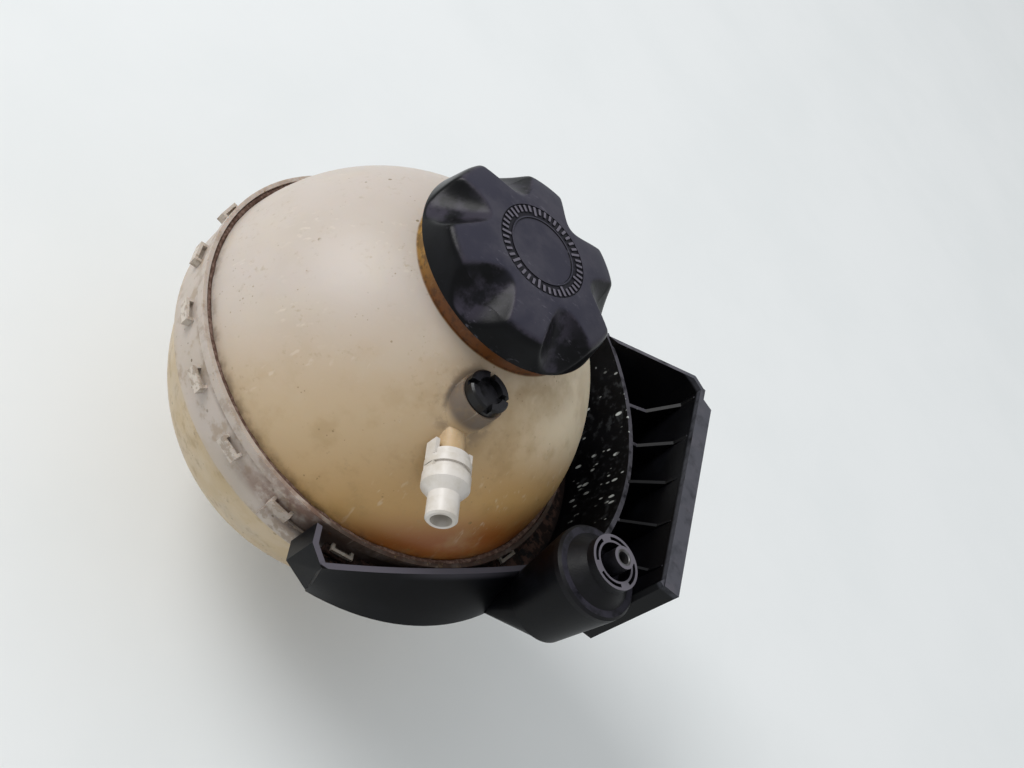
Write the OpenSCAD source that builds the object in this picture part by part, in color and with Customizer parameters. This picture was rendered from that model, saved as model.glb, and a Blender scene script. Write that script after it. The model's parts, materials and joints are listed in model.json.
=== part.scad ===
// Coolant expansion tank in its holder. Lengths in mm, drawn round the tank's
// upright axis with the weld seam near zero height, then moved so that the origin
// is the middle of the mounting bush's bore. Plus Z is the axis of cap and bush.

/* [Tank shell] */
// Outer radius of the round shell
shell_radius = 75; // [60:0.5:90]
// Height of the shell's centre against the seam ring
shell_centre_z = -10.7; // [-20:0.1:0]
// Wall of both halves
shell_wall = 2.8; // [2:0.1:4]
// Height of the weld between the halves
weld_z = -3; // [-6:0.1:-1]
// Top of the ring round the dirt groove
seam_ring_top = 0.8; // [0:0.1:3]
// Outer radius of that ring
seam_ring_radius = 77.6; // [76:0.1:80]
// Thickness of that ring
seam_ring_wall = 1.5; // [1:0.1:3]
// Bottom of the groove inside the ring
groove_floor_z = -1.5; // [-2.5:0.1:0]
// Outer radius of the belt below the weld
belt_radius = 77; // [75:0.1:80]
// Bottom of the belt
belt_bottom = -20; // [-30:0.5:-12]

/* [Lugs on the belt] */
// Number of lugs
lug_count = 20; // [8:1:30]
// Azimuth of the first lug
lug_first = -99.9; // [-180:0.1:180]
// Width of a lug
lug_width = 8.2; // [4:0.1:12]
// Outer radius of a lug
lug_radius = 79.7; // [78:0.1:82]
// Top of a lug
lug_top = -6.2; // [-9:0.1:-4]
// Wall left round the hollow of a lug
lug_wall = 1.1; // [0.8:0.1:2]
// Depth of the hollow of a lug
lug_hollow = 1.6; // [0.5:0.1:3]
// Outer radius of the flat pad beside the arm
pad_radius = 78; // [77:0.1:79]
// Azimuth of that pad
pad_azimuth = -96.3; // [-180:0.1:180]
// Angle of that pad
pad_angle = 12; // [5:0.5:20]
// Height of that pad
pad_height = 8.4; // [4:0.1:12]

/* [Outlet at the bottom] */
// Distance of the outlet from the tank axis
outlet_offset = 28; // [0:0.5:40]
// Azimuth of the outlet
outlet_azimuth = 62; // [0:1:360]
// Outer radius of the outlet
outlet_radius = 10; // [6:0.1:14]
// Bore radius of the outlet
outlet_bore = 7.8; // [4:0.1:12]
// Lower end of the outlet
outlet_end_z = -103; // [-120:0.5:-90]
// Radius of the collar the hose stops on
outlet_collar_radius = 12.5; // [11:0.1:16]
// Lower face of that collar
outlet_collar_z = -86.5; // [-95:0.1:-86]
// Bevel at the outlet's end
outlet_bevel = 0.6; // [0.2:0.1:1]

/* [Neck] */
// Outer radius of the neck
neck_radius = 33.3; // [30:0.1:36]
// Top of the neck
neck_top = 65.3; // [60:0.1:70]
// Radius at the root of the neck's thread
neck_thread_root = 27.6; // [25:0.1:30]
// Radius at the crest of the neck's thread
neck_thread_crest = 26.5; // [25:0.1:30]
// Radius of the smooth sealing bore
neck_bore = 25.2; // [20:0.1:27]
// Top of the sealing bore
neck_bore_top = 52.6; // [48:0.1:56]
// Lower end of the neck inside the dome
neck_bottom = 40; // [35:0.1:50]
// Outer radius of the neck inside the dome
neck_inner_radius = 28; // [26:0.1:31]
// Bevel at the mouth
neck_bevel = 0.8; // [0.3:0.1:1.5]

/* [Thread of the cap] */
// Advance of the cap in one turn
cap_lead = 8; // [4:0.5:12]
// Number of thread starts
cap_starts = 2; // [1:1:3]
// Lowest ridge centre in the neck
neck_thread_from = 54.6; // [53:0.1:58]
// Highest ridge centre in the neck
neck_thread_to = 63.2; // [60:0.1:65]
// Lowest ridge centre on the cap
cap_thread_from = 54; // [52:0.1:58]
// Highest ridge centre on the cap
cap_thread_to = 62; // [58:0.1:65]
// Half width of a ridge at its root
ridge_root_half = 0.95; // [0.5:0.05:1.5]
// Half width of a ridge at its crest
ridge_crest_half = 0.45; // [0.2:0.05:1]
// Depth of a ridge's root inside its wall
ridge_bedding = 0.4; // [0.2:0.05:1]

/* [Cap] */
// Radius of the rim
cap_rim_radius = 36.8; // [34:0.1:40]
// Height of the rim
cap_rim_z = 63.9; // [60:0.1:68]
// Radius at the shoulder of a lobe
cap_shoulder_radius = 34.3; // [30:0.1:38]
// Height of the shoulder
cap_shoulder_z = 74.5; // [70:0.1:78]
// Radius of the flat top
cap_flat_radius = 22; // [15:0.1:30]
// Height of the flat top
cap_top_z = 78.1; // [70:0.1:85]
// Width of the bevel round the shoulder
cap_bevel = 0.9; // [0.3:0.1:2]
// Wall of the cap
cap_wall = 2.3; // [1.8:0.1:3]
// Number of lobes
lobe_count = 6; // [4:1:8]
// Azimuth of the first scallop
scallop_first = 9.5; // [0:0.1:60]
// Radius of the cutter for the scallops
scallop_radius = 10; // [6:0.1:16]
// Inner end of a scallop's floor
scallop_start = 22.5; // [15:0.1:30]
// Height of the floor at its inner end
scallop_start_z = 77; // [70:0.1:80]
// Radius where the floor meets the skirt
scallop_end = 35; // [30:0.1:38]
// Height of the floor at the skirt
scallop_end_z = 66.6; // [60:0.1:75]
// Wall under a scallop
scallop_wall = 1.9; // [1.5:0.1:3]
// Radius of the recessed disc on top
cap_disc_radius = 12.3; // [8:0.1:16]
// Depth of the recessed disc
cap_disc_depth = 0.35; // [0.1:0.05:1]
// Inner radius of the cap's threaded tube
cap_tube_bore = 23.45; // [20:0.05:25]
// Outer radius of the threaded tube
cap_tube_radius = 26; // [24:0.1:28]
// Radius at the crest of the cap's thread
cap_thread_crest = 27.1; // [26:0.1:29]
// Lower end of the threaded tube
cap_tube_bottom = 52.8; // [48:0.1:56]
// Inner radius of the rib that stops on the neck
stop_rib_inner = 28.9; // [28:0.1:31]
// Outer radius of that rib
stop_rib_outer = 30.5; // [29:0.1:32]
// Inner radius of the hollow in a lobe
lobe_hollow_inner = 27.5; // [26:0.1:30]
// Angle of the hollow in a lobe
lobe_hollow_angle = 17; // [8:0.5:24]

/* [Plug and valves in the cap] */
// Outer radius of the plug's tube
plug_tube_radius = 23.35; // [20:0.05:25]
// Wall of the plug's tubes
plug_wall = 2; // [1.5:0.1:3]
// Radius of the plug's head
plug_head_radius = 24.9; // [22:0.1:26]
// Lower face of the plug
plug_bottom = 42; // [38:0.1:46]
// Upper face of the plug's head
plug_head_top = 51.5; // [48:0.1:54]
// Thickness of the plug's floor
plug_floor = 2.5; // [2:0.1:4]
// Underside of the snap collar
collar_z = 67; // [64:0.1:70]
// Height of the snap collar
collar_height = 1.8; // [1:0.1:3]
// Radius of the snap collar
collar_radius = 24.4; // [23.5:0.1:26]
// Radial play round the collar
collar_play = 0.2; // [0.05:0.05:0.5]
// Radius of the O-ring's section
neck_seal_section = 1.35; // [0.8:0.05:2]
// Outer radius of the O-ring
neck_seal_radius = 25.15; // [24:0.05:26]
// Middle height of the O-ring
neck_seal_z = 47.4; // [44:0.1:50]
// Play beside the O-ring in its groove
neck_seal_play = 0.25; // [0.1:0.05:0.5]
// Radius of the valve chamber
chamber_radius = 13; // [10:0.1:16]
// Radius of the valve opening in the floor
seat_radius = 8; // [5:0.1:10]
// Height of the sealing lip round the opening
seat_lip = 0.6; // [0.3:0.1:1.5]
// Radial width of that lip
seat_lip_width = 0.8; // [0.4:0.1:1.5]
// Thickness of the pressure seal
pressure_seal_thickness = 1.5; // [0.8:0.1:3]
// Outer radius of the pressure seal
pressure_seal_radius = 11.6; // [10:0.1:13]
// Inner radius of the pressure seal
pressure_seal_bore = 5; // [3:0.1:7]
// Thickness of the pressure valve's plate
pressure_plate = 1.8; // [1:0.1:3]
// Radius of the pressure valve's plate
pressure_plate_radius = 12.4; // [10:0.1:13]
// Height of the spring guide on the plate
spring_guide_height = 3; // [1:0.1:6]
// Outer radius of the spring guide
spring_guide_radius = 8; // [6:0.1:10]
// Inner radius of the spring guide
spring_guide_bore = 6.6; // [4:0.1:8]
// Mean radius of the pressure spring
pressure_coil_radius = 9.6; // [8:0.1:11]
// Wire radius of the pressure spring
pressure_wire = 0.8; // [0.5:0.05:1.2]
// Turns of the pressure spring
pressure_turns = 5; // [3:1:8]
// Lower face of the spring retainer
retainer_z = 65.6; // [60:0.1:68]
// Thickness of the spring retainer
retainer_thickness = 2; // [1:0.1:3]
// Radius of a gas hole in the retainer
retainer_hole = 1.6; // [1:0.1:3]
// Distance of the gas holes from the axis
retainer_hole_offset = 5.2; // [3:0.1:8]
// Radius of the vacuum valve's head
vacuum_head_radius = 6.6; // [5:0.1:7.5]
// Thickness of that head
vacuum_head_thickness = 1.6; // [1:0.1:3]
// Radius of the vacuum valve's stem
vacuum_stem_radius = 1.5; // [1:0.05:2]
// Play of the stem in its guide
vacuum_stem_play = 0.06; // [0.02:0.01:0.2]
// Radius of an air hole beside the guide
vacuum_hole = 0.8; // [0.5:0.05:1.2]
// Distance of the air holes from the axis
vacuum_hole_offset = 3.7; // [3:0.1:5]
// Mean radius of the vacuum spring
vacuum_coil_radius = 2.6; // [2:0.05:4]
// Wire radius of the vacuum spring
vacuum_wire = 0.3; // [0.2:0.05:0.5]
// Length of the vacuum spring
vacuum_spring_length = 6; // [4:0.1:8]
// Turns of the vacuum spring
vacuum_turns = 5; // [3:1:8]
// Thickness of the cup on the stem
vacuum_cup_thickness = 1.2; // [0.8:0.1:2]
// Radius of that cup
vacuum_cup_radius = 4.2; // [3:0.1:6]
// Length of its centring lip
vacuum_cup_lip = 1; // [0.5:0.1:2]

/* [Bleed screw] */
// Azimuth of the bleed screw and of the vent spigot
side_azimuth = -78; // [-180:1:180]
// Distance of the bleed screw from the tank axis
bleed_offset = 45.7; // [40:0.1:50]
// Radius of the boss
bleed_boss_radius = 8; // [6:0.1:10]
// Top of the boss
bleed_boss_top = 53.9; // [50:0.1:60]
// Radius of the counterbore in the boss
bleed_counterbore = 6.7; // [5:0.1:7.5]
// Radius at the root of the boss's thread
bleed_thread_root = 5.3; // [4:0.1:6]
// Radius at the crest of the boss's thread
bleed_thread_crest = 4.5; // [4:0.1:6]
// Core radius of the screw
bleed_core = 4.1; // [3:0.1:5]
// Radius at the crest of the screw's thread
bleed_screw_crest = 4.95; // [4:0.05:6]
// Advance of the screw in one turn
bleed_pitch = 2.5; // [1:0.1:4]
// Half width of a fine ridge at its root
fine_root_half = 0.6; // [0.3:0.05:1]
// Half width of a fine ridge at its crest
fine_crest_half = 0.25; // [0.1:0.05:0.6]
// Lowest ridge centre in the boss
boss_thread_from = 48.8; // [47:0.1:51]
// Highest ridge centre in the boss
boss_thread_to = 51.3; // [50:0.1:53]
// Lowest ridge centre on the screw
screw_thread_from = 46.4; // [45:0.1:51]
// Highest ridge centre on the screw
screw_thread_to = 50.9; // [50:0.1:53]
// Lower end of the screw
screw_bottom = 43.8; // [42:0.1:48]
// Radius of the screw's head
screw_head_radius = 7.4; // [6:0.1:9]
// Height of the screw's head
screw_head_height = 4; // [2:0.1:6]
// Width of the cross slot
screw_slot_width = 1.9; // [1:0.1:3]
// Depth of the cross slot
screw_slot_depth = 2.4; // [1:0.1:3]
// Radius of the hollow in the head
screw_hollow_radius = 4.6; // [3:0.1:6]
// Bevel round the head
screw_bevel = 0.6; // [0.2:0.1:1]
// Radius of the bleed seal's section
bleed_seal_section = 0.85; // [0.5:0.05:1.2]
// Play between the screw's neck and its seal
bleed_seal_play = 0.15; // [0.05:0.05:0.4]
// Radius of the bleed bore in the screw
screw_bore = 1.4; // [0.8:0.1:2]

/* [Vent spigot and connector] */
// Height of the vent spigot
vent_z = 39.5; // [35:0.1:45]
// Outer radius of the spigot
spigot_radius = 4.4; // [3:0.1:6]
// Bore radius of the spigot
spigot_bore = 2.6; // [1.5:0.1:4]
// Inner end of the spigot's bore
spigot_from = 48; // [40:0.1:52]
// Outer end of the spigot
spigot_to = 72.6; // [65:0.1:76]
// Play between spigot and connector
spigot_play = 0.05; // [0.02:0.01:0.2]
// Inner end of the connector's body
body_from = 62; // [60:0.1:66]
// Outer end of the connector's collar
body_to = 73; // [70:0.1:76]
// Radius of the connector's body
body_radius = 6.6; // [5:0.1:8]
// Inner end of the collar
body_collar_from = 69; // [67:0.1:72]
// Radius of the collar
body_collar_radius = 7.6; // [7:0.1:9]
// Outer end of the cone
cone_to = 76.2; // [74:0.1:80]
// Outer radius of the connector's tube
tube_radius = 5; // [4:0.1:6]
// Bore radius of the tube
tube_bore = 3.4; // [2:0.1:4.5]
// Outer end of the tube
tube_to = 84.5; // [78:0.1:95]
// Bevel at the end of the tube
tube_bevel = 0.6; // [0.2:0.1:1]
// Inner end of the release ears
ear_from = 58.6; // [56:0.1:61]
// Distance of an ear's inner face from the axis
ear_inner = 5.6; // [5:0.1:7]
// Thickness of an ear
ear_thickness = 1.5; // [1:0.1:3]
// Half height of an ear
ear_half = 2.4; // [1:0.1:4]
// Middle of the vent seal along the spigot
vent_seal_at = 70.7; // [69:0.1:72]
// Radius of the vent seal's section
vent_seal_section = 0.85; // [0.5:0.05:1.2]
// Start of the clip along the spigot
clip_from = 64.6; // [63:0.1:67]
// Width of the clip
clip_width = 2.6; // [1:0.1:4]
// Outer radius of the clip
clip_radius = 7.4; // [7:0.1:9]
// Radius the clip's claws reach in to
clip_claw_radius = 4; // [3:0.1:5]
// Angle of the clip's opening
clip_gap = 70; // [30:1:120]
// Angle between the opening's middle and a claw
clip_claw_at = 52; // [40:1:90]
// Angle of a claw
clip_claw_angle = 28; // [10:1:60]
// Play of the claws in their slots
clip_play = 0.15; // [0.05:0.05:0.5]
// Radius at the floor of the spigot's groove
spigot_groove_radius = 3.8; // [3:0.1:5]

/* [Bush and sleeve] */
// Across position of the bush
bush_x = 83; // [70:0.1:95]
// Along position of the bush
bush_y = -51.05; // [-60:0.1:-40]
// Top of the boss that carries the bush
boss_top = 27.5; // [20:0.1:35]
// Radius of the bush's upper flange
bush_flange_radius = 17; // [14:0.1:20]
// Thickness of the upper flange
bush_flange = 3; // [2:0.1:5]
// Bevel round the upper flange
bush_flange_bevel = 0.9; // [0.2:0.1:2]
// Radius of the bush at the foot of its cone
bush_cone_foot = 13.7; // [12:0.1:16]
// Radius of the bush at the neck of its cone
bush_cone_neck = 9.2; // [8:0.1:12]
// Height of the cone's neck
bush_cone_top = 36; // [32:0.1:38]
// Radius of the ring on top
bush_ring_radius = 9.9; // [9:0.1:13]
// Top of that ring
bush_ring_top = 39.3; // [37:0.1:42]
// Outer radius of the four arc slots
bush_slot_outer = 8.9; // [8:0.1:12]
// Inner radius of the four arc slots
bush_slot_inner = 7.7; // [7:0.1:10]
// Angle of an arc slot
bush_slot_angle = 62; // [30:1:80]
// Depth of the arc slots
bush_slot_depth = 7; // [2:0.1:10]
// Radius of the cup round the centre tube
bush_cup_radius = 6.9; // [6:0.1:9]
// Depth of that cup
bush_cup_depth = 6; // [2:0.1:9]
// Radius of the bush's centre tube
bush_tube_radius = 4.1; // [3.5:0.1:6]
// Top of the centre tube and of the sleeve
bush_tube_top = 43.3; // [40:0.1:46]
// Radius of the bush in the boss
bush_waist_radius = 10.5; // [8:0.1:13]
// Radius of the bush's lower flange
bush_lower_radius = 13.2; // [11:0.1:15]
// Thickness of the lower flange
bush_lower = 3.4; // [2:0.1:5]
// Lower nose of the bush
bush_nose = 3; // [1:0.1:5]
// Outer radius of the sleeve
sleeve_radius = 3; // [3:0.05:5]
// Bore radius of the sleeve
sleeve_bore = 2.2; // [2:0.05:4]
// Chamfer at the sleeve's ends
sleeve_chamfer = 0.3; // [0.1:0.05:0.5]

/* [Bracket] */
// Radius of the curved wall's inner face at its foot
wall_foot_radius = 88.7; // [85:0.1:92]
// Radius of the curved wall's inner face at its top
wall_top_radius = 92; // [88:0.1:96]
// Top of the curved wall
wall_top = 22; // [15:0.1:30]
// Thickness of the curved wall
wall_thickness = 2; // [1.5:0.1:4]
// Top of the ledge under the lugs
ledge_top = -10; // [-14:0.1:-6]
// Thickness of the ledge
ledge_thickness = 2.6; // [2:0.1:4]
// Inner radius of the ledge
ledge_inner = 78.4; // [77:0.1:82]
// Azimuth where the curved wall starts
wall_from = -29; // [-40:0.5:-20]
// Azimuth where the curved wall ends
wall_to = 44; // [30:0.1:60]
// Inner face of the flat outer wall
outer_wall_x = 102.5; // [95:0.1:110]
// Thickness of the outer wall
outer_wall = 2.2; // [1.5:0.1:4]
// Top of the outer wall
outer_wall_top = 42.5; // [30:0.1:50]
// Near end of the outer wall
outer_wall_from = -49; // [-60:0.1:-40]
// Far end of the outer wall
outer_wall_to = 50.6; // [40:0.1:60]
// Underside of the bracket's floor
floor_z = -1; // [-4:0.1:2]
// Thickness of the floor
floor_thickness = 2.2; // [1.5:0.1:4]
// Outer face of the rim
rim_x = 109.3; // [104:0.1:115]
// Thickness of the rim
rim_thickness = 2; // [1.5:0.1:4]
// Far end of the rim
rim_to = 45.2; // [40:0.1:55]
// Far end of the curved wall, across
far_x = 67.3; // [60:0.1:75]
// Far end of the curved wall, along
far_y = 63.7; // [55:0.1:70]
// Corner of the far wall, across
far_corner_x = 99.2; // [90:0.1:105]
// Corner of the far wall, along
far_corner_y = 53.2; // [45:0.1:60]
// Azimuths of the five fins
fin_angle_list = [24.3, 13.6, 2.1, -9.7, -20.4];
// Thickness of a fin
fin_thickness = 1.4; // [1:0.1:3]
// Distance from the outer wall where a fin starts to rise
fin_rise = 9.3; // [5:0.1:15]
// Height of a fin at the outer wall
fin_top = 40; // [30:0.1:42]
// Shares of the rise, distance and height, of a fin's upper edge
fin_edge_share = [[1, 0], [0.07, 0.6], [0, 0.95]];
// Radius of the boss at its top
boss_radius = 17; // [14:0.1:20]
// Radius of the boss at its foot
boss_foot_radius = 13.7; // [12:0.1:20]
// Shift of the boss's foot from the bush, across and along
boss_foot_shift = [1.2, -0.6];
// Lower end of the boss
boss_bottom = 0.5; // [-1:0.1:8]
// Thickness of the boss's top
boss_plate = 4; // [3:0.1:6]
// Wall of the boss
boss_wall = 2.2; // [1.5:0.1:4]
// Thickness of the boss's bottom
boss_floor = 3; // [2.5:0.1:5]
// Radius of the hole in the boss's bottom
boss_hole_radius = 7.5; // [5:0.1:9]
// Radius of the boss's hollow at its lower end
boss_hollow_radius = 9.5; // [8:0.1:12]
// Distance from the bush to the front wall's end
front_reach = 15; // [14:0.1:17]
// Angle on the boss where the front wall meets it
front_angle = -30; // [-80:1:0]
// Outer radius of the ledge under the arm
arm_ledge_radius = 87.6; // [80:0.1:90]
// Outer radius of the ledge at the arm's tip
tip_ledge_radius = 85.5; // [80:0.1:90]
// Azimuth where the ledge starts
ledge_from = -91; // [-100:0.1:-80]
// Angle by which the ledge stops short of the curved wall's end
ledge_short = 1; // [0.2:0.1:5]
// Locating peg, along position
peg_y = 14; // [-30:0.1:40]
// Locating peg, height
peg_z = 12; // [5:0.1:30]
// Radius of the locating peg
peg_radius = 4.5; // [3:0.1:7]
// Outer end of the locating peg
peg_end_x = 119; // [110:0.1:130]
// Tapered tip of the peg
peg_tip = 2.5; // [1:0.1:5]
// Radius of the peg's foot
peg_foot_radius = 7; // [5:0.1:9]
// Thickness of the peg's foot
peg_foot = 1.8; // [1:0.1:3]

/* [Hooked arm] */
// Azimuth square to the arm's upper lip
lip_azimuth = -54.4; // [-70:0.1:-40]
// Distance of the lip's chord from the tank axis
lip_distance = 77.75; // [74:0.05:80]
// Bulge of the lip in its middle
lip_bulge = 2; // [0:0.1:5]
// Half length of the lip
lip_half = 47.55; // [40:0.05:55]
// Shift of the lip along its chord
lip_shift = -3; // [-10:0.1:10]
// Height of the lip
lip_z = 0.8; // [0:0.1:4]
// Radius of the arm's lower rim
arm_rim_radius = 92.2; // [88:0.1:96]
// Height of the lower rim
arm_rim_z = -15; // [-20:0.1:-12]
// Azimuth of the lower rim at the arm's tip
arm_from = -85; // [-95:0.5:-75]
// Azimuth of the lower rim at the boss
arm_to = -37; // [-45:0.5:-30]
// Wall of the arm
arm_wall = 2; // [1.5:0.1:3]
// Outward bulge of the arm's sloped face
arm_swell = 1.2; // [0:0.1:3]
// Tip wall, middle corner, across
tip_x = -2; // [-8:0.1:4]
// Tip wall, middle corner, along
tip_y = -86.6; // [-92:0.1:-80]
// Tip wall, inner corner, across
tip_in_x = -3.2; // [-10:0.1:4]
// Tip wall, inner corner, along
tip_in_y = -79.4; // [-85:0.1:-75]

/* [Hidden] */
// Overrun of every cut
over = 0.5;
// Depth by which a joined piece stays inside the face it meets
bedding = 0.2;
// Facets of the round parts
$fn = 96;
// Facets inside the few hulled shapes
hull_facets = 32;
// Stations of a turn for ridges
turn_steps = 36;
// Stations of a turn for springs
coil_steps = 20;
// Corners of a spring wire's section
wire_corners = 8;
// Stations along the arm
arm_steps = 18;
// Corners over the arm's sloped face
arm_swell_share = [0, 0.75, 1, 0.75, 0];
shell_inner = shell_radius - shell_wall;
ledge_bottom = ledge_top - ledge_thickness;
lug_step = 360 / lug_count;
sleeve_bottom = boss_top - boss_plate - bush_lower - bush_nose;
bush_mid_z = (sleeve_bottom + bush_tube_top) / 2;
seal_floor_z = plug_bottom + plug_floor;
pressure_plate_z = seal_floor_z + seat_lip + pressure_seal_thickness;
plate_top_z = pressure_plate_z + pressure_plate;
vacuum_head_z = pressure_plate_z - pressure_seal_thickness;
cup_z = plate_top_z + vacuum_spring_length;
cap_roof_z = cap_top_z - cap_wall;
scallop_slope = (scallop_end_z - scallop_start_z) / (scallop_end - scallop_start);
scallop_tilt = atan(scallop_slope);
roof_drop = scallop_wall / cos(scallop_tilt);
cap_chamber_top = scallop_start_z + (cap_tube_bore - scallop_start) * scallop_slope - roof_drop;
cap_skirt_inner = cap_rim_radius - cap_wall;
crown_slope = (cap_shoulder_z - cap_top_z) / (cap_shoulder_radius - cap_flat_radius);
skirt_slope = (cap_shoulder_radius - cap_rim_radius) / (cap_shoulder_z - cap_rim_z);
screw_head_top = bleed_boss_top + screw_head_height;
screw_neck = bleed_counterbore - 2 * bleed_seal_section - bleed_seal_play;
counterbore_z = bleed_boss_top - 2 * bleed_seal_section;
wall_slope = (wall_top_radius - wall_foot_radius) / (wall_top - ledge_top);
far_run = norm([far_corner_x - far_x, far_corner_y - far_y]);
far_turn = atan2(far_corner_y - far_y, far_corner_x - far_x);
front_way = [cos(front_angle), sin(front_angle)];
front_end = [bush_x, bush_y] + front_reach * front_way;

// Frames of the sub-parts

module placed() {
  translate([-bush_x, -bush_y, -bush_mid_z]) children();
}

module at_bleed() {
  rotate(side_azimuth) translate([bleed_offset, 0, 0]) children();
}

module along_vent() {
  rotate(side_azimuth) translate([0, 0, vent_z]) rotate([0, 90, 0]) children();
}

module at_outlet() {
  rotate(outlet_azimuth) translate([outlet_offset, 0, 0]) children();
}

module at_bush() {
  translate([bush_x, bush_y, 0]) children();
}

// Shared shapes

module rod(radius, low, high) {
  translate([0, 0, low]) cylinder(r = radius, h = high - low);
}

module taper(low_radius, high_radius, low, high) {
  translate([0, 0, low]) cylinder(r1 = low_radius, r2 = high_radius, h = high - low);
}

module tube(inner, outer, low, high) {
  difference() {
    rod(outer, low, high);
    rod(inner, low - over, high + over);
  }
}

module o_ring(radius, section, height) {
  translate([0, 0, height]) rotate_extrude() translate([radius, 0]) circle(section);
}

module slab(low, high, reach) {
  translate([-reach, -reach, low]) cube([2 * reach, 2 * reach, high - low]);
}

module sector(angle, inner, outer, low, high) {
  rotate(-angle / 2) rotate_extrude(angle = angle)
    polygon([[inner, low], [outer, low], [outer, high], [inner, high]]);
}

// A solid through a row of outlines, each with the same even number of corners
module loft(rows, turned) {
  count = len(rows[0]);
  last = (len(rows) - 1) * count;
  sides = [for (i = [0:len(rows) - 2]) for (k = [0:count - 1])
    let (a = i * count + k, b = i * count + (k + 1) % count)
    each [[a, b, b + count], [a, b + count, a + count]]];
  ends = [for (k = [0:count / 2 - 2])
    let (m = count - 1 - k)
    each [[m, k + 1, k], [m, m - 1, k + 1],
      [last + k, last + k + 1, last + m], [last + k + 1, last + m - 1, last + m]]];
  all_faces = concat(sides, ends);
  flipped = [for (f = all_faces) [f[2], f[1], f[0]]];
  polyhedron(points = [for (row = rows) each row], faces = turned ? flipped : all_faces);
}

// One raised ridge of a thread, climbing with the angle
module ridge(root, crest, root_half, crest_half, lead, from, to, start) {
  count = ceil((to - from) / lead * turn_steps);
  rows = [for (i = [0:count])
    let (z = from + (to - from) * i / count, a = start + 360 * (z - from) / lead)
    [[root * cos(a), root * sin(a), z - root_half],
     [crest * cos(a), crest * sin(a), z - crest_half],
     [crest * cos(a), crest * sin(a), z + crest_half],
     [root * cos(a), root * sin(a), z + root_half]]];
  loft(rows, root > crest);
}

module ridges(root, crest, root_half, crest_half, lead, starts, from, to, start) {
  for (i = [0:starts - 1])
    ridge(root, crest, root_half, crest_half, lead, from, to, start + i * 360 / starts);
}

// A spring with flat ends between two heights
module coil(radius, wire, low, high, turns) {
  pitch = (high - low - 2 * wire) / (turns - 1);
  count = turns * coil_steps;
  rows = [for (i = [0:count])
    let (u = i / coil_steps, rise = min(max(u - 1 / 2, 0), turns - 1), a = 360 * u)
    [for (k = [0:wire_corners - 1])
      let (b = 360 * k / wire_corners, r = radius + wire * cos(b))
      [r * cos(a), r * sin(a), low + wire + rise * pitch + wire * sin(b)]]];
  loft(rows, false);
}

// Tank halves

module shell_body(radius) {
  translate([0, 0, shell_centre_z]) sphere(radius);
}

module neck_solid() {
  rod(neck_radius, shell_centre_z + sqrt(pow(shell_inner, 2) - pow(neck_radius, 2)), neck_top);
  rod(neck_inner_radius, neck_bottom, neck_top);
}

module upper_shell() {
  color([0.86, 0.76, 0.62]) placed() {
    difference() {
      union() {
        difference() {
          union() {
            shell_body(shell_radius);
            tube(shell_inner, seam_ring_radius, weld_z, seam_ring_top);
            at_bleed() rod(bleed_boss_radius, vent_z, bleed_boss_top);
            along_vent() rod(spigot_radius, spigot_from, spigot_to);
          }
          slab(weld_z - 2 * shell_radius, weld_z, 2 * shell_radius);
          difference() {
            rod(seam_ring_radius - seam_ring_wall, groove_floor_z, seam_ring_top + over);
            shell_body(shell_radius);
          }
          shell_body(shell_inner);
        }
        neck_solid();
      }
      rod(neck_bore, neck_bottom - over, neck_top + over);
      rod(neck_thread_root, neck_bore_top, neck_top + over);
      taper(neck_bore, neck_thread_root, neck_bore_top - neck_bevel, neck_bore_top);
      taper(neck_thread_root, neck_thread_root + neck_bevel + over,
        neck_top - neck_bevel, neck_top + over);
      at_bleed() rod(bleed_thread_root, vent_z - over, bleed_boss_top);
      at_bleed() rod(bleed_counterbore, counterbore_z, bleed_boss_top + over);
      along_vent() rod(spigot_bore, spigot_from - over, spigot_to + over);
      along_vent() tube(spigot_groove_radius, spigot_radius + over,
        clip_from - clip_play, clip_from + clip_width + clip_play);
    }
    ridges(neck_thread_root + ridge_bedding, neck_thread_crest, ridge_root_half,
      ridge_crest_half, cap_lead, cap_starts, neck_thread_from, neck_thread_to, 0);
    at_bleed() ridges(bleed_thread_root + ridge_bedding, bleed_thread_crest, fine_root_half,
      fine_crest_half, bleed_pitch, 1, boss_thread_from, boss_thread_to, 0);
  }
}

module lug() {
  difference() {
    translate([belt_radius - over, -lug_width / 2, ledge_top])
      cube([lug_radius - belt_radius + over, lug_width, lug_top - ledge_top]);
    translate([belt_radius, lug_wall - lug_width / 2, lug_top - lug_hollow])
      cube([lug_radius - belt_radius - lug_wall, lug_width - 2 * lug_wall, lug_hollow + over]);
  }
}

module lower_shell() {
  color([0.84, 0.76, 0.68]) placed() difference() {
    union() {
      shell_body(shell_radius);
      rod(belt_radius, belt_bottom, weld_z);
      for (i = [0:lug_count - 1]) rotate(lug_first + i * lug_step) lug();
      rotate(pad_azimuth) sector(pad_angle, belt_radius - over, pad_radius,
        ledge_top - pad_height, ledge_top);
      at_outlet() rod(outlet_collar_radius, outlet_collar_z, shell_centre_z - shell_inner / 2);
      at_outlet() rod(outlet_radius, outlet_end_z + outlet_bevel, outlet_collar_z + over);
      at_outlet() taper(outlet_radius - outlet_bevel, outlet_radius, outlet_end_z,
        outlet_end_z + outlet_bevel);
    }
    slab(weld_z, weld_z + 2 * shell_radius, 2 * shell_radius);
    shell_body(shell_inner);
    at_outlet() rod(outlet_bore, outlet_end_z - over, shell_centre_z - shell_inner / 2);
  }
}

// Cap, plug and valves

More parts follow.
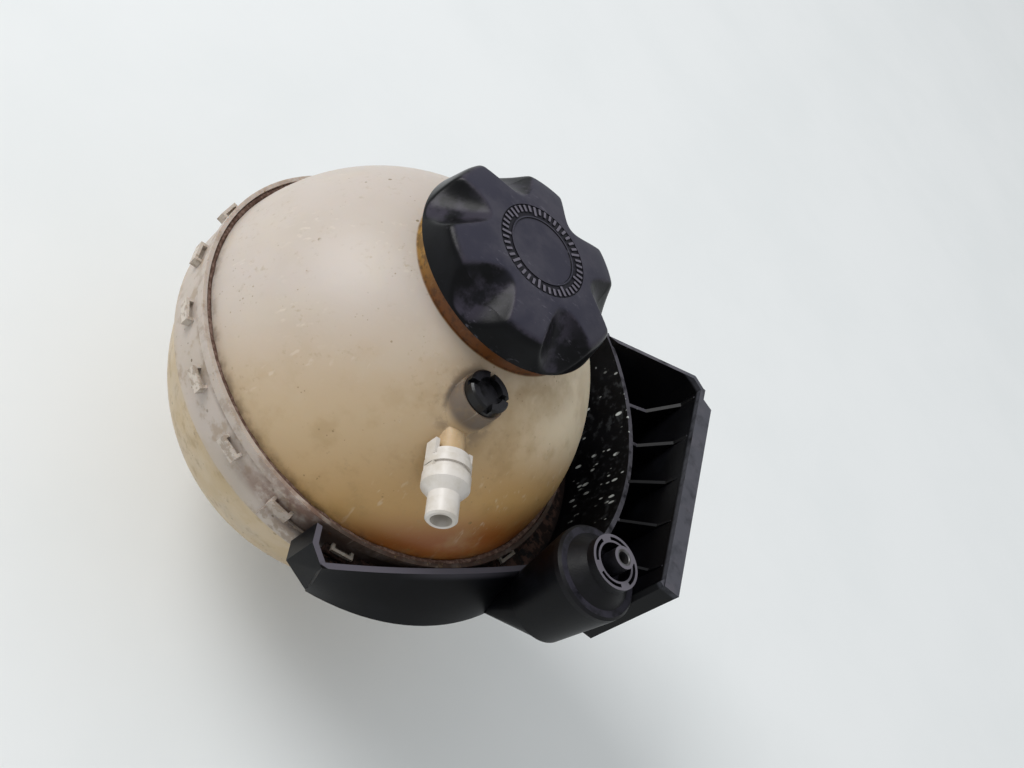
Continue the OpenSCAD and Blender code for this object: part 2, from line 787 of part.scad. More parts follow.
module cap_outline() {
  rotate_extrude() polygon([
    [0, cap_top_z], [cap_flat_radius, cap_top_z],
    [cap_shoulder_radius - cap_bevel, cap_shoulder_z - cap_bevel * crown_slope],
    [cap_shoulder_radius - cap_bevel / 3, cap_shoulder_z - cap_bevel / 3],
    [cap_shoulder_radius, cap_shoulder_z - cap_bevel],
    [cap_rim_radius, cap_rim_z], [0, cap_rim_z]]);
}

module scallops() {
  for (i = [0:lobe_count - 1])
    rotate(scallop_first + i * 360 / lobe_count)
      translate([scallop_start, 0, scallop_start_z])
        rotate([0, 90 - scallop_tilt, 0])
          translate([-scallop_radius, 0, -scallop_radius])
            cylinder(r = scallop_radius, h = 4 * scallop_radius);
}

module lobe_hollow() {
  low = cap_rim_z - over;
  high_in = cap_roof_z + (lobe_hollow_inner - cap_flat_radius) * crown_slope;
  side_out = cap_skirt_inner + (cap_shoulder_z - cap_rim_z) * skirt_slope;
  high_out = cap_roof_z + (side_out - cap_flat_radius) * crown_slope;
  rotate(-lobe_hollow_angle / 2) rotate_extrude(angle = lobe_hollow_angle)
    polygon([[lobe_hollow_inner, low], [cap_skirt_inner - over, low],
      [side_out, high_out], [lobe_hollow_inner, high_in]]);
}

module cap_cavity() {
  inner_z = scallop_start_z + (cap_tube_radius - scallop_start) * scallop_slope - roof_drop;
  outer = cap_skirt_inner - over;
  outer_z = scallop_start_z + (outer - scallop_start) * scallop_slope - roof_drop;
  rotate_extrude() polygon([[cap_tube_radius, cap_rim_z - over], [cap_skirt_inner, cap_rim_z - over],
    [outer, outer_z], [cap_tube_radius, inner_z]]);
}

module cap_shell() {
  color([0.06, 0.06, 0.07]) placed() {
    difference() {
      cap_outline();
      scallops();
      cap_cavity();
      for (i = [0:lobe_count - 1])
        rotate(scallop_first + (i + 1 / 2) * 360 / lobe_count) lobe_hollow();
      rod(cap_disc_radius, cap_top_z - cap_disc_depth, cap_top_z + over);
      rod(cap_tube_bore, cap_rim_z - over, cap_chamber_top);
      taper(cap_tube_bore, scallop_start - cap_wall, cap_chamber_top, cap_roof_z);
      rod(collar_radius + collar_play, collar_z, collar_z + collar_height + collar_play);
    }
    tube(cap_tube_bore, cap_tube_radius, cap_tube_bottom, cap_rim_z + over);
    tube(stop_rib_inner, stop_rib_outer, neck_top, scallop_start_z
      + (stop_rib_outer - scallop_start) * scallop_slope - roof_drop + over);
    ridges(cap_tube_radius - ridge_bedding, cap_thread_crest, ridge_root_half, ridge_crest_half,
      cap_lead, cap_starts, cap_thread_from, cap_thread_to,
      (cap_thread_from - neck_thread_from - cap_lead / cap_starts / 2) / cap_lead * 360);
  }
}

module valve_insert() {
  color([0.1, 0.1, 0.11]) placed() {
    difference() {
      union() {
        rod(plug_head_radius, plug_bottom, plug_head_top);
        rod(plug_tube_radius, plug_bottom, collar_z + collar_height);
        rod(collar_radius, collar_z, collar_z + collar_height);
      }
      tube(chamber_radius + plug_wall, plug_tube_radius - plug_wall,
        seal_floor_z, collar_z + collar_height + over);
      rod(chamber_radius, seal_floor_z, collar_z + collar_height + over);
      tube(chamber_radius - over, plug_tube_radius - plug_wall + over,
        retainer_z + retainer_thickness, collar_z + collar_height + over);
      rod(seat_radius, plug_bottom - over, seal_floor_z + over);
      tube(neck_seal_radius - 2 * neck_seal_section, plug_head_radius + over,
        neck_seal_z - neck_seal_section - neck_seal_play,
        neck_seal_z + neck_seal_section + neck_seal_play);
    }
    tube(seat_radius, seat_radius + seat_lip_width, seal_floor_z - over, seal_floor_z + seat_lip);
  }
}

module neck_seal() {
  color([0.05, 0.05, 0.05]) placed()
    o_ring(neck_seal_radius - neck_seal_section, neck_seal_section, neck_seal_z);
}

module pressure_valve() {
  color([0.7, 0.7, 0.66]) placed() difference() {
    union() {
      rod(pressure_plate_radius, pressure_plate_z, plate_top_z);
      tube(spring_guide_bore, spring_guide_radius, pressure_plate_z,
        plate_top_z + spring_guide_height);
    }
    rod(vacuum_stem_radius + vacuum_stem_play, pressure_plate_z - over, plate_top_z + over);
    for (i = [0:3]) rotate(90 * i) translate([vacuum_hole_offset, 0, 0])
      rod(vacuum_hole, pressure_plate_z - over, plate_top_z + over);
  }
}

module pressure_seal() {
  color([0.08, 0.08, 0.08]) placed()
    tube(pressure_seal_bore, pressure_seal_radius, pressure_plate_z - pressure_seal_thickness,
      pressure_plate_z);
}

module pressure_spring() {
  color([0.7, 0.7, 0.72]) placed()
    coil(pressure_coil_radius, pressure_wire, plate_top_z, retainer_z, pressure_turns);
}

module spring_retainer() {
  color([0.75, 0.74, 0.7]) placed() difference() {
    rod(chamber_radius, retainer_z, retainer_z + retainer_thickness);
    for (i = [0:5]) rotate(60 * i) translate([retainer_hole_offset, 0, 0])
      rod(retainer_hole, retainer_z - over, retainer_z + retainer_thickness + over);
  }
}

module vacuum_valve() {
  color([0.72, 0.7, 0.62]) placed() {
    rod(vacuum_head_radius, vacuum_head_z - vacuum_head_thickness, vacuum_head_z);
    rod(vacuum_stem_radius, vacuum_head_z - vacuum_head_thickness, cup_z + vacuum_cup_thickness);
  }
}

module vacuum_spring() {
  color([0.72, 0.72, 0.74]) placed()
    coil(vacuum_coil_radius, vacuum_wire, plate_top_z, cup_z, vacuum_turns);
}

module vacuum_spring_cup() {
  color([0.75, 0.62, 0.3]) placed() {
    tube(vacuum_stem_radius, vacuum_cup_radius, cup_z, cup_z + vacuum_cup_thickness);
    tube(vacuum_cup_radius - vacuum_cup_lip / 2, vacuum_cup_radius, cup_z - vacuum_cup_lip,
      cup_z + vacuum_cup_thickness);
  }
}

// Bleed screw

module bleed_screw() {
  color([0.05, 0.05, 0.06]) placed() at_bleed() {
    difference() {
      union() {
        rod(screw_head_radius, bleed_boss_top, screw_head_top - screw_bevel);
        taper(screw_head_radius, screw_head_radius - screw_bevel,
          screw_head_top - screw_bevel, screw_head_top);
        rod(screw_neck, counterbore_z, bleed_boss_top);
        rod(bleed_core, screw_bottom, bleed_boss_top);
      }
      rod(screw_hollow_radius, screw_head_top - screw_slot_depth, screw_head_top + over);
      for (turn = [0, 90]) rotate(turn)
        translate([-screw_head_radius - over, -screw_slot_width / 2, screw_head_top - screw_slot_depth])
          cube([2 * (screw_head_radius + over), screw_slot_width, screw_slot_depth + over]);
      rod(screw_bore, screw_bottom - over, counterbore_z);
      translate([0, 0, screw_thread_to + screw_bore / 2]) rotate([0, 90, 0])
        rod(screw_bore / 2, 0, bleed_thread_root);
    }
    ridges(bleed_core - ridge_bedding, bleed_screw_crest, fine_root_half, fine_crest_half,
      bleed_pitch, 1, screw_thread_from, screw_thread_to,
      (screw_thread_from - boss_thread_from - bleed_pitch / 2) / bleed_pitch * 360);
  }
}

module bleed_seal() {
  color([0.05, 0.05, 0.05]) placed() at_bleed()
    o_ring(bleed_counterbore - bleed_seal_section, bleed_seal_section,
      bleed_boss_top - bleed_seal_section);
}

// Vent connector on its spigot

module vent_connector() {
  color([0.93, 0.91, 0.86]) placed() along_vent() difference() {
    union() {
      rod(body_radius, body_from, body_to);
      rod(body_collar_radius, body_collar_from, body_to);
      taper(body_collar_radius, tube_radius, body_to, cone_to);
      rod(tube_radius, body_from, tube_to - tube_bevel);
      taper(tube_radius, tube_radius - tube_bevel, tube_to - tube_bevel, tube_to);
      for (turn = [0, 180]) rotate(turn)
        translate([-ear_half, ear_inner, ear_from])
          cube([2 * ear_half, ear_thickness, body_collar_from - ear_from]);
    }
    rod(spigot_radius + spigot_play, body_from - over, spigot_to);
    rod(tube_bore, spigot_to - over, tube_to + over);
    o_ring(spigot_radius + vent_seal_section, vent_seal_section, vent_seal_at);
    for (side = [-1, 1]) rotate(side * clip_claw_at)
      sector(clip_claw_angle + 2, clip_claw_radius, body_radius + over,
        clip_from - clip_play, clip_from + clip_width + clip_play);
    tube(body_radius, body_collar_radius + 2 * over,
      clip_from - clip_play, clip_from + clip_width + clip_play);
  }
}

module vent_clip() {
  color([0.9, 0.88, 0.82]) placed() along_vent() {
    rotate(180) sector(360 - clip_gap, body_radius, clip_radius, clip_from, clip_from + clip_width);
    for (side = [-1, 1]) rotate(side * clip_claw_at)
      sector(clip_claw_angle, clip_claw_radius, body_radius + over,
        clip_from, clip_from + clip_width);
  }
}

module vent_seal() {
  color([0.08, 0.08, 0.08]) placed() along_vent()
    o_ring(spigot_radius + vent_seal_section, vent_seal_section, vent_seal_at);
}

// Bracket

function wall_middle(z) = wall_foot_radius + wall_thickness / 2 + wall_slope * (z - ledge_top);

module curved_wall() {
  foot = wall_foot_radius - wall_slope * ledge_thickness;
  rotate(wall_from) rotate_extrude(angle = wall_to - wall_from)
    polygon([[foot, ledge_bottom], [foot + wall_thickness, ledge_bottom],
      [wall_top_radius + wall_thickness, wall_top], [wall_top_radius, wall_top]]);
}

// All that lies inside the middle of the curved wall
module inside_wall() {
  taper(wall_middle(ledge_bottom), wall_middle(outer_wall_top + over),
    ledge_bottom, outer_wall_top + over);
}

module ledge(inner, outer, from, to, step) {
  rotate(from) rotate_extrude(angle = to - from)
    polygon([[inner, ledge_bottom + step], [outer, ledge_bottom + step],
      [outer, ledge_top - step], [inner, ledge_top - step]]);
}

// The ledge in three rings, each a little thinner and further out
module ledges() {
  ledge(ledge_inner, tip_ledge_radius, ledge_from, wall_to - ledge_short, 0);
  ledge(tip_ledge_radius - over, arm_ledge_radius, arm_from, wall_to - 2 * ledge_short,
    bedding);
  ledge(arm_ledge_radius - over, wall_foot_radius + wall_thickness / 2, arm_to,
    wall_to - 3 * ledge_short, 2 * bedding);
}

// Outline of the far wall, or of the floor's edge along its middle
function far_line(inward, ahead) =
  let (shift = inward * [sin(far_turn), -cos(far_turn)])
  [[far_x, far_y] + shift + ahead * [cos(far_turn), sin(far_turn)], [far_corner_x, far_corner_y] + shift,
   [outer_wall_x + outer_wall / 2, outer_wall_to] + shift];

module floor_plate() {
  difference() {
    translate([0, 0, floor_z]) linear_extrude(floor_thickness)
      polygon(concat(far_line(wall_thickness / 2, wall_thickness),
        [[outer_wall_x + outer_wall / 2, outer_wall_from + outer_wall / 2],
         front_end - wall_thickness / 2 * front_way, [bush_x, bush_y], [0, 0]]));
    inside_wall();
  }
}

module outer_wall_plate() {
  difference() {
    translate([0, 0, floor_z]) linear_extrude(outer_wall_top - floor_z)
      polygon([[outer_wall_x, outer_wall_from], [rim_x, outer_wall_from],
        [rim_x, rim_to - rim_thickness], [outer_wall_x + outer_wall, rim_to],
        [outer_wall_x + outer_wall, outer_wall_to], [outer_wall_x, outer_wall_to]]);
    translate([outer_wall_x + outer_wall, outer_wall_from + rim_thickness, floor_z - over])
      cube([rim_x, 2 * outer_wall_to, outer_wall_top - rim_thickness - floor_z + over]);
  }
}

module far_wall() {
  inner = far_line(wall_thickness, 0);
  difference() {
    translate([0, 0, floor_z]) linear_extrude(outer_wall_top - floor_z)
      polygon(concat(far_line(0, 0), [inner[2], inner[1], inner[0]]));
    inside_wall();
    translate([far_x, far_y, 0]) rotate(far_turn) rotate([90, 0, 0])
      linear_extrude(4 * wall_thickness, center = true)
        polygon([[-rim_thickness, wall_top], [0, wall_top], [far_run, outer_wall_top + over],
          [-rim_thickness, outer_wall_top + over]]);
  }
}

module fin(angle) {
  reach = outer_wall_x / cos(angle);
  root = wall_foot_radius + wall_thickness;
  edge = [for (s = fin_edge_share)
    [reach - s[0] * fin_rise, wall_top + s[1] * (fin_top - wall_top)]];
  rotate(angle) translate([0, fin_thickness / 2, 0]) rotate([90, 0, 0])
    linear_extrude(fin_thickness)
      polygon(concat([[root, floor_z], [wall_top_radius + wall_thickness / 2, wall_top]], edge,
        [[reach + outer_wall / 2, fin_top], [reach + outer_wall / 2, floor_z]]));
}

module front_wall() {
  run = norm(front_end - [outer_wall_x, outer_wall_from]);
  turn = atan2(front_end[1] - outer_wall_from, front_end[0] - outer_wall_x);
  translate([outer_wall_x, outer_wall_from, 0]) rotate(turn) rotate([90, 0, 0])
    linear_extrude(wall_thickness)
      polygon([[-outer_wall, floor_z], [-outer_wall, outer_wall_top - over],
        [0, outer_wall_top - over], [fin_rise / 4, fin_top - fin_rise],
        [fin_rise / 2, boss_top - over], [run, boss_top - bush_flange], [run, floor_z]]);
}

module peg() {
  translate([0, peg_y, peg_z]) rotate([0, 90, 0]) {
    rod(peg_foot_radius, outer_wall_x + outer_wall / 2, outer_wall_x + outer_wall + peg_foot);
    rod(peg_radius, outer_wall_x + outer_wall / 2, peg_end_x - peg_tip);
    taper(peg_radius, peg_radius - peg_tip / 2, peg_end_x - peg_tip, peg_end_x);
  }
}

function lip_point(t, inward) =
  let (s = (2 * t - 1) * lip_half,
    bend = (pow(lip_half, 2) / lip_bulge + lip_bulge) / 2,
    drop = bend - sqrt(pow(bend, 2) - pow(s, 2)),
    d = lip_distance + lip_bulge - drop - inward, u = s + lip_shift,
    c = cos(lip_azimuth), w = sin(lip_azimuth))
  [d * c - u * w, d * w + u * c, lip_z];

function rim_point(t, inward) =
  let (a = arm_from + (arm_to - arm_from) * t, r = arm_rim_radius - inward)
  [r * cos(a), r * sin(a), arm_rim_z];

function arm_point(t, k, inward, trim) =
  let (s = trim + (1 - 2 * trim) * k / (len(arm_swell_share) - 1), top = lip_point(t, inward), low = rim_point(t, inward),
    side = low - top, lift = arm_swell * arm_swell_share[k] / arm_rim_radius)
  [top[0] + s * side[0] + lift * low[0], top[1] + s * side[1] + lift * low[1],
   top[2] + s * side[2]];

module arm_shell(from, inset, trim) {
  last = len(arm_swell_share) - 1;
  rows = [for (i = [0:arm_steps]) let (t = from + (1 - from) * i / arm_steps)
    concat([for (k = [0:last]) arm_point(t, k, arm_wall - inset, trim)],
      [for (k = [0:last]) arm_point(t, last - k, inset, trim)])];
  loft(rows, false);
}

function tip_outline(corner, height) =
  [for (p = [[corner[0] + arm_wall / 2, corner[1] + arm_wall],
      [tip_x + arm_wall, tip_y + arm_wall / 2], [tip_in_x + arm_wall, tip_in_y],
      [tip_in_x, tip_in_y], [tip_x, tip_y], [corner[0], corner[1]]])
    [p[0], p[1], height]];

module at_boss_foot() {
  translate([bush_x + boss_foot_shift[0], bush_y + boss_foot_shift[1], 0]) children();
}

// The boss, leaning a little from its foot to the bush
module boss() {
  hull() {
    at_boss_foot() rod(boss_foot_radius, boss_bottom, boss_bottom + over);
    at_bush() rod(boss_radius, boss_top - over, boss_top);
  }
}

module web() {
  hull() {
    at_boss_foot() rod(boss_foot_radius - bedding, boss_bottom + bedding,
      boss_bottom + floor_thickness, $fn = hull_facets);
    arm_shell(1 - 1 / arm_steps, 2 * bedding, bedding / arm_wall / 2);
  }
}

module bracket_core() {
  difference() {
    union() {
      curved_wall();
      floor_plate();
      front_wall();
      boss();
      web();
    }
    at_bush() taper(boss_hollow_radius, boss_radius - boss_wall,
      boss_bottom + boss_floor, boss_top - boss_plate);
    at_bush() rod(boss_hole_radius, arm_rim_z - over, boss_bottom + boss_floor + over);
    at_bush() rod(bush_waist_radius, boss_top - boss_plate - over, boss_top + over);
  }
}

module bracket_limbs() {
  outer_wall_plate();
  far_wall();
  for (angle = fin_angle_list) fin(angle);
  peg();
  ledges();
  arm_shell(0, 0, 0);
  loft([tip_outline(rim_point(0, bedding), arm_rim_z + bedding),
    tip_outline(lip_point(0, bedding), lip_z - bedding)], true);
}

module bracket() {
  color([0.05, 0.05, 0.055]) placed() {
    bracket_core();
    bracket_limbs();
  }
}

module bush_body() {
  rod(bush_flange_radius, boss_top, boss_top + bush_flange - bush_flange_bevel);
  taper(bush_flange_radius, bush_flange_radius - bush_flange_bevel,
    boss_top + bush_flange - bush_flange_bevel, boss_top + bush_flange);
  taper(bush_cone_foot, bush_cone_neck, boss_top + bush_flange, bush_cone_top);
  rod(bush_cone_neck, boss_top, bush_cone_top + over);
  rod(bush_ring_radius, bush_cone_top, bush_ring_top);
  rod(bush_waist_radius, boss_top - boss_plate, boss_top);
  rod(bush_lower_radius, boss_top - boss_plate - bush_lower, boss_top - boss_plate);
  taper(bush_tube_radius + bush_nose, bush_waist_radius, sleeve_bottom,
    boss_top - boss_plate - bush_lower);
}

module rubber_bush() {
  cup_floor = bush_ring_top - bush_cup_depth;
  color([0.09, 0.09, 0.1]) placed() at_bush() difference() {
    union() {
      difference() {
        bush_body();
        rod(bush_cup_radius, cup_floor, bush_ring_top + over);
        for (i = [0:3]) rotate(90 * i)
          sector(bush_slot_angle, bush_slot_inner, bush_slot_outer,
            bush_ring_top - bush_slot_depth, bush_ring_top + over);
      }
      rod(bush_tube_radius, cup_floor - over, bush_tube_top);
    }
    rod(sleeve_radius, sleeve_bottom - over, bush_tube_top + over);
  }
}

module bush_sleeve() {
  color([0.55, 0.55, 0.56]) placed() at_bush() difference() {
    rod(sleeve_radius, sleeve_bottom, bush_tube_top);
    rod(sleeve_bore, sleeve_bottom - over, bush_tube_top + over);
    taper(sleeve_bore, sleeve_bore + sleeve_chamfer + over,
      bush_tube_top - sleeve_chamfer, bush_tube_top + over);
    taper(sleeve_bore + sleeve_chamfer + over, sleeve_bore,
      sleeve_bottom - over, sleeve_bottom + sleeve_chamfer);
  }
}

upper_shell();
lower_shell();
cap_shell();
valve_insert();
neck_seal();
pressure_valve();
pressure_seal();
pressure_spring();
spring_retainer();
vacuum_valve();
vacuum_spring();
vacuum_spring_cup();
bleed_screw();
bleed_seal();
vent_connector();
vent_clip();
vent_seal();
bracket();
rubber_bush();
bush_sleeve();
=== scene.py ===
"""Dresses the coolant expansion tank: finishes, dirt, cap, floor, light and camera.

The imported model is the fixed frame. Lengths in the classes are millimetres, measured
from the tank's upright axis with the weld seam near zero height, as the part is drawn.
"""

from __future__ import annotations

import json
import logging
import math
from dataclasses import dataclass, field
from enum import Enum
from typing import Callable, Iterable

import bpy
from mathutils import Matrix, Vector

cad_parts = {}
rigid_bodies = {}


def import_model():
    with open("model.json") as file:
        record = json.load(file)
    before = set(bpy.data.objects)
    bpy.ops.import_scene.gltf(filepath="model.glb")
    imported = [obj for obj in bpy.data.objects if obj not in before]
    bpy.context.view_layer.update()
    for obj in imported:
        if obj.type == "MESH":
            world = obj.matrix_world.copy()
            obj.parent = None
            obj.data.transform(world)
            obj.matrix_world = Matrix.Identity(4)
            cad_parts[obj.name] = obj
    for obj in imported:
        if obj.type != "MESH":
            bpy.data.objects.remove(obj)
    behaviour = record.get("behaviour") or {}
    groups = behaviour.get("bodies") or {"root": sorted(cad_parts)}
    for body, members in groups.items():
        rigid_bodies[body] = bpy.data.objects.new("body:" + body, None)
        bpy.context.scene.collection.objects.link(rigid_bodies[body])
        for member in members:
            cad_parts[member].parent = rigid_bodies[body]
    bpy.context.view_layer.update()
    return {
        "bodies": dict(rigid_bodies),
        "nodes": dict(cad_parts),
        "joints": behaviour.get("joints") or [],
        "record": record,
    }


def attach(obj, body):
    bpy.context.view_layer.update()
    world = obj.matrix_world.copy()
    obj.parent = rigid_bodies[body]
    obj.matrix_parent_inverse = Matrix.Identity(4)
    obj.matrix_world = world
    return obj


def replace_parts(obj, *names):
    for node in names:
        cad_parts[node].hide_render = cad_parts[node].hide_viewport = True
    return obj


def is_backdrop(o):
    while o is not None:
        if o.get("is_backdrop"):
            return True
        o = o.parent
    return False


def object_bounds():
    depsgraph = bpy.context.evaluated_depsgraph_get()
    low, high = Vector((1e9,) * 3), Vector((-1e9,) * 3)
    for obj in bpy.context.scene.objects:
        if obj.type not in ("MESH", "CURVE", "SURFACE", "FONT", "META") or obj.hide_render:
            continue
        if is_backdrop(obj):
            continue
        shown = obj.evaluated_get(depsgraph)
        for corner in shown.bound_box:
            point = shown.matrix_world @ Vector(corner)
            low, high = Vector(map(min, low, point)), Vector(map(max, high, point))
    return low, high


LOG = logging.getLogger("tank")
MILLI = 0.001
BUSH_BORE = Vector((83.0, -51.05, 30.2))
PHOTO_WIDTH = 1024
SENSOR = 36.0


class Axis(Enum):
    """The ways a stain, a streak, painted light or painted shade can run over the tank."""

    UP = (0.0, 0.0, 1.0)
    OUT = (1.0, 0.0, 0.0)
    PHOTO_DOWN = (0.599, -0.665, -0.445)
    PHOTO_RIGHT = (0.732, 0.231, 0.641)


def place(x: float, y: float, z: float) -> Vector:
    """Gives a point in metres in the part's frame.

    Args:
        x: Across, in millimetres from the tank's axis.
        y: Along, in millimetres from the tank's axis.
        z: Height, in millimetres from the weld seam.

    Returns:
        The same point from the mounting bush's bore.
    """
    return (Vector((x, y, z)) - BUSH_BORE) * MILLI


def linear(colour: str) -> tuple[float, float, float, float]:
    """Turns an sRGB hex colour to linear light.

    Args:
        colour: Six hex digits.

    Returns:
        Red, green, blue and an alpha of one.
    """
    parts = [int(colour[i : i + 2], 16) / 255 for i in (0, 2, 4)]
    red, green, blue = (
        p / 12.92 if p <= 0.04045 else ((p + 0.055) / 1.055) ** 2.4 for p in parts
    )
    return (red, green, blue, 1.0)


def add(
    tree: bpy.types.NodeTree, kind: str, sockets: dict | None = None, **settings
) -> bpy.types.Node:
    """Adds a node with its settings and links.

    Args:
        tree: The node tree that gets it.
        kind: The node's type name.
        sockets: Input socket by name or number, to a value or the output that feeds it.
        settings: Attributes of the node.

    Returns:
        The new node.
    """
    made = tree.nodes.new(kind)
    for name, value in settings.items():
        setattr(made, name, value)
    for name, value in (sockets or {}).items():
        if isinstance(value, bpy.types.NodeSocket):
            tree.links.new(value, made.inputs[name])
        else:
            made.inputs[name].default_value = value
    return made


class Coat:
    """Stacks colour and gloss over a base, on millimetres from the tank's axis."""

    def __init__(self, name: str, colour: str, roughness: float) -> None:
        """Starts the material.

        Args:
            name: Name of the material, which says what the real one is.
            colour: Base colour as sRGB hex.
            roughness: Base roughness.
        """
        self.material = bpy.data.materials.new(name)
        self.material.use_nodes = True
        self.tree = self.material.node_tree
        self.shader = self.tree.nodes["Principled BSDF"]
        where = add(self.tree, "ShaderNodeTexCoord").outputs["Object"]
        self.point = add(
            self.tree,
            "ShaderNodeVectorMath",
            {0: where, 1: (1 / MILLI,) * 3, 2: BUSH_BORE},
            operation="MULTIPLY_ADD",
        ).outputs[0]
        self.colour: bpy.types.NodeSocket | tuple = linear(colour)
        self.rough: bpy.types.NodeSocket | float = roughness
        self.height: bpy.types.NodeSocket | None = None

    def ramp(self, value: bpy.types.NodeSocket, low: float, high: float) -> bpy.types.NodeSocket:
        """Maps low..high to a soft 0..1; low may be above high."""
        return add(
            self.tree,
            "ShaderNodeMapRange",
            {"Value": value, "From Min": low, "From Max": high},
            interpolation_type="SMOOTHSTEP",
        ).outputs[0]

    def clouds(
        self,
        size: float,
        low: float,
        high: float,
        detail: float = 4.0,
        stretch: tuple[float, float, float] = (1, 1, 1),
        shift: float = 0.0,
    ) -> bpy.types.NodeSocket:
        """Makes a mask of soft patches.

        Args:
            size: Size of a patch in millimetres.
            low: Noise value where the mask starts.
            high: Noise value where the mask is full.
            detail: Octaves of finer structure.
            stretch: Factors that lengthen patches where below one.
            shift: Offset that gives another draw.

        Returns:
            The mask.
        """
        moved = add(
            self.tree,
            "ShaderNodeMapping",
            {"Vector": self.point, "Scale": stretch, "Location": (shift, shift, -shift)},
        ).outputs[0]
        cloud = add(
            self.tree,
            "ShaderNodeTexNoise",
            {"Vector": moved, "Scale": 1 / size, "Detail": detail, "Roughness": 0.6},
        ).outputs[0]
        return self.ramp(cloud, low, high)

    def specks(
        self,
        spacing: float,
        reach: float,
        shift: float = 0.0,
        stretch: tuple[float, float, float] = (1, 1, 1),
    ) -> bpy.types.NodeSocket:
        """Makes a mask of small specks.

        Args:
            spacing: Distance between specks in millimetres.
            reach: Radius of the largest speck in millimetres.
            shift: Offset that gives another draw.
            stretch: Factors that lengthen specks where below one.

        Returns:
            The mask.
        """
        moved = add(
            self.tree,
            "ShaderNodeMapping",
            {"Vector": self.point, "Scale": stretch, "Location": (shift, -shift, shift)},
        ).outputs[0]
        cell = add(self.tree, "ShaderNodeTexVoronoi", {"Vector": moved, "Scale": 1 / spacing})
        chance = add(self.tree, "ShaderNodeSeparateColor", {0: cell.outputs["Color"]}).outputs[0]
        radius = add(
            self.tree, "ShaderNodeMath", {0: chance, 1: reach / spacing}, operation="MULTIPLY"
        ).outputs[0]
        inside = add(
            self.tree,
            "ShaderNodeMath",
            {0: radius, 1: cell.outputs["Distance"]},
            operation="SUBTRACT",
        ).outputs[0]
        return self.ramp(inside, 0.0, 0.25 * reach / spacing)

    def along(self, way: Axis, start: float, end: float) -> bpy.types.NodeSocket:
        """Makes a mask that grows along a direction, from start to end in millimetres."""
        reach = add(
            self.tree,
            "ShaderNodeVectorMath",
            {0: self.point, 1: way.value},
            operation="DOT_PRODUCT",
        ).outputs["Value"]
        return self.ramp(reach, start, end)

    def facing(self, way: Axis, start: float, end: float) -> bpy.types.NodeSocket:
        """Makes a mask of the surfaces that face a direction, by the cosine to it."""
        normal = add(self.tree, "ShaderNodeNewGeometry").outputs["Normal"]
        cosine = add(
            self.tree,
            "ShaderNodeVectorMath",
            {0: normal, 1: way.value},
            operation="DOT_PRODUCT",
        ).outputs["Value"]
        return self.ramp(cosine, start, end)

    def shaft(
        self, inner: float, outer: float, centre: tuple[float, float] = (0, 0)
    ) -> bpy.types.NodeSocket:
        """Makes a mask round an upright axis, full inside inner and gone at outer."""
        flat = add(
            self.tree,
            "ShaderNodeVectorMath",
            {0: self.point, 1: (1, 1, 0), 2: (-centre[0], -centre[1], 0)},
            operation="MULTIPLY_ADD",
        ).outputs[0]
        far = add(
            self.tree, "ShaderNodeVectorMath", {0: flat}, operation="LENGTH"
        ).outputs["Value"]
        return self.ramp(far, outer, inner)

    def both(self, *masks: bpy.types.NodeSocket) -> bpy.types.NodeSocket:
        """Multiplies masks."""
        made = masks[0]
        for other in masks[1:]:
            made = add(
                self.tree, "ShaderNodeMath", {0: made, 1: other}, operation="MULTIPLY"
            ).outputs[0]
        return made

    def lay(
        self,
        mask: bpy.types.NodeSocket,
        colour: str,
        share: float = 1.0,
        roughness: float | None = None,
    ) -> None:
        """Lays a colour over what is there.

        Args:
            mask: Where it lies.
            colour: Colour as sRGB hex.
            share: How much of it covers at most.
            roughness: Roughness it brings, or None to leave the gloss.
        """
        part = add(
            self.tree, "ShaderNodeMath", {0: mask, 1: share}, operation="MULTIPLY"
        ).outputs[0]
        self.colour = add(
            self.tree,
            "ShaderNodeMix",
            {0: part, 6: self.colour, 7: linear(colour)},
            data_type="RGBA",
        ).outputs[2]
        if roughness is not None:
            self.rough = add(
                self.tree,
                "ShaderNodeMix",
                {0: part, 2: self.rough, 3: roughness},
                data_type="FLOAT",
            ).outputs[0]

    def raise_by(self, mask: bpy.types.NodeSocket, height: float) -> None:
        """Adds relief in millimetres where the mask is full."""
        lift = add(
            self.tree, "ShaderNodeMath", {0: mask, 1: height}, operation="MULTIPLY"
        ).outputs[0]
        if self.height is not None:
            lift = add(
                self.tree, "ShaderNodeMath", {0: lift, 1: self.height}, operation="ADD"
            ).outputs[0]
        self.height = lift

    def done(self, **sockets: float) -> bpy.types.Material:
        """Links the stack to the shader.

        Args:
            sockets: Plain values for the shader's own sockets, spaces as underscores.

        Returns:
            The finished material.
        """
        for name, value in (("Base Color", self.colour), ("Roughness", self.rough)):
            if isinstance(value, bpy.types.NodeSocket):
                self.tree.links.new(value, self.shader.inputs[name])
            else:
                self.shader.inputs[name].default_value = value
        for name, value in sockets.items():
            self.shader.inputs[name.replace("_", " ")].default_value = value
        if self.height is not None:
            bump = add(
                self.tree,
                "ShaderNodeBump",
                {"Height": self.height, "Distance": MILLI, "Strength": 1.0},
            )
            self.tree.links.new(bump.outputs[0], self.shader.inputs["Normal"])
        return self.material


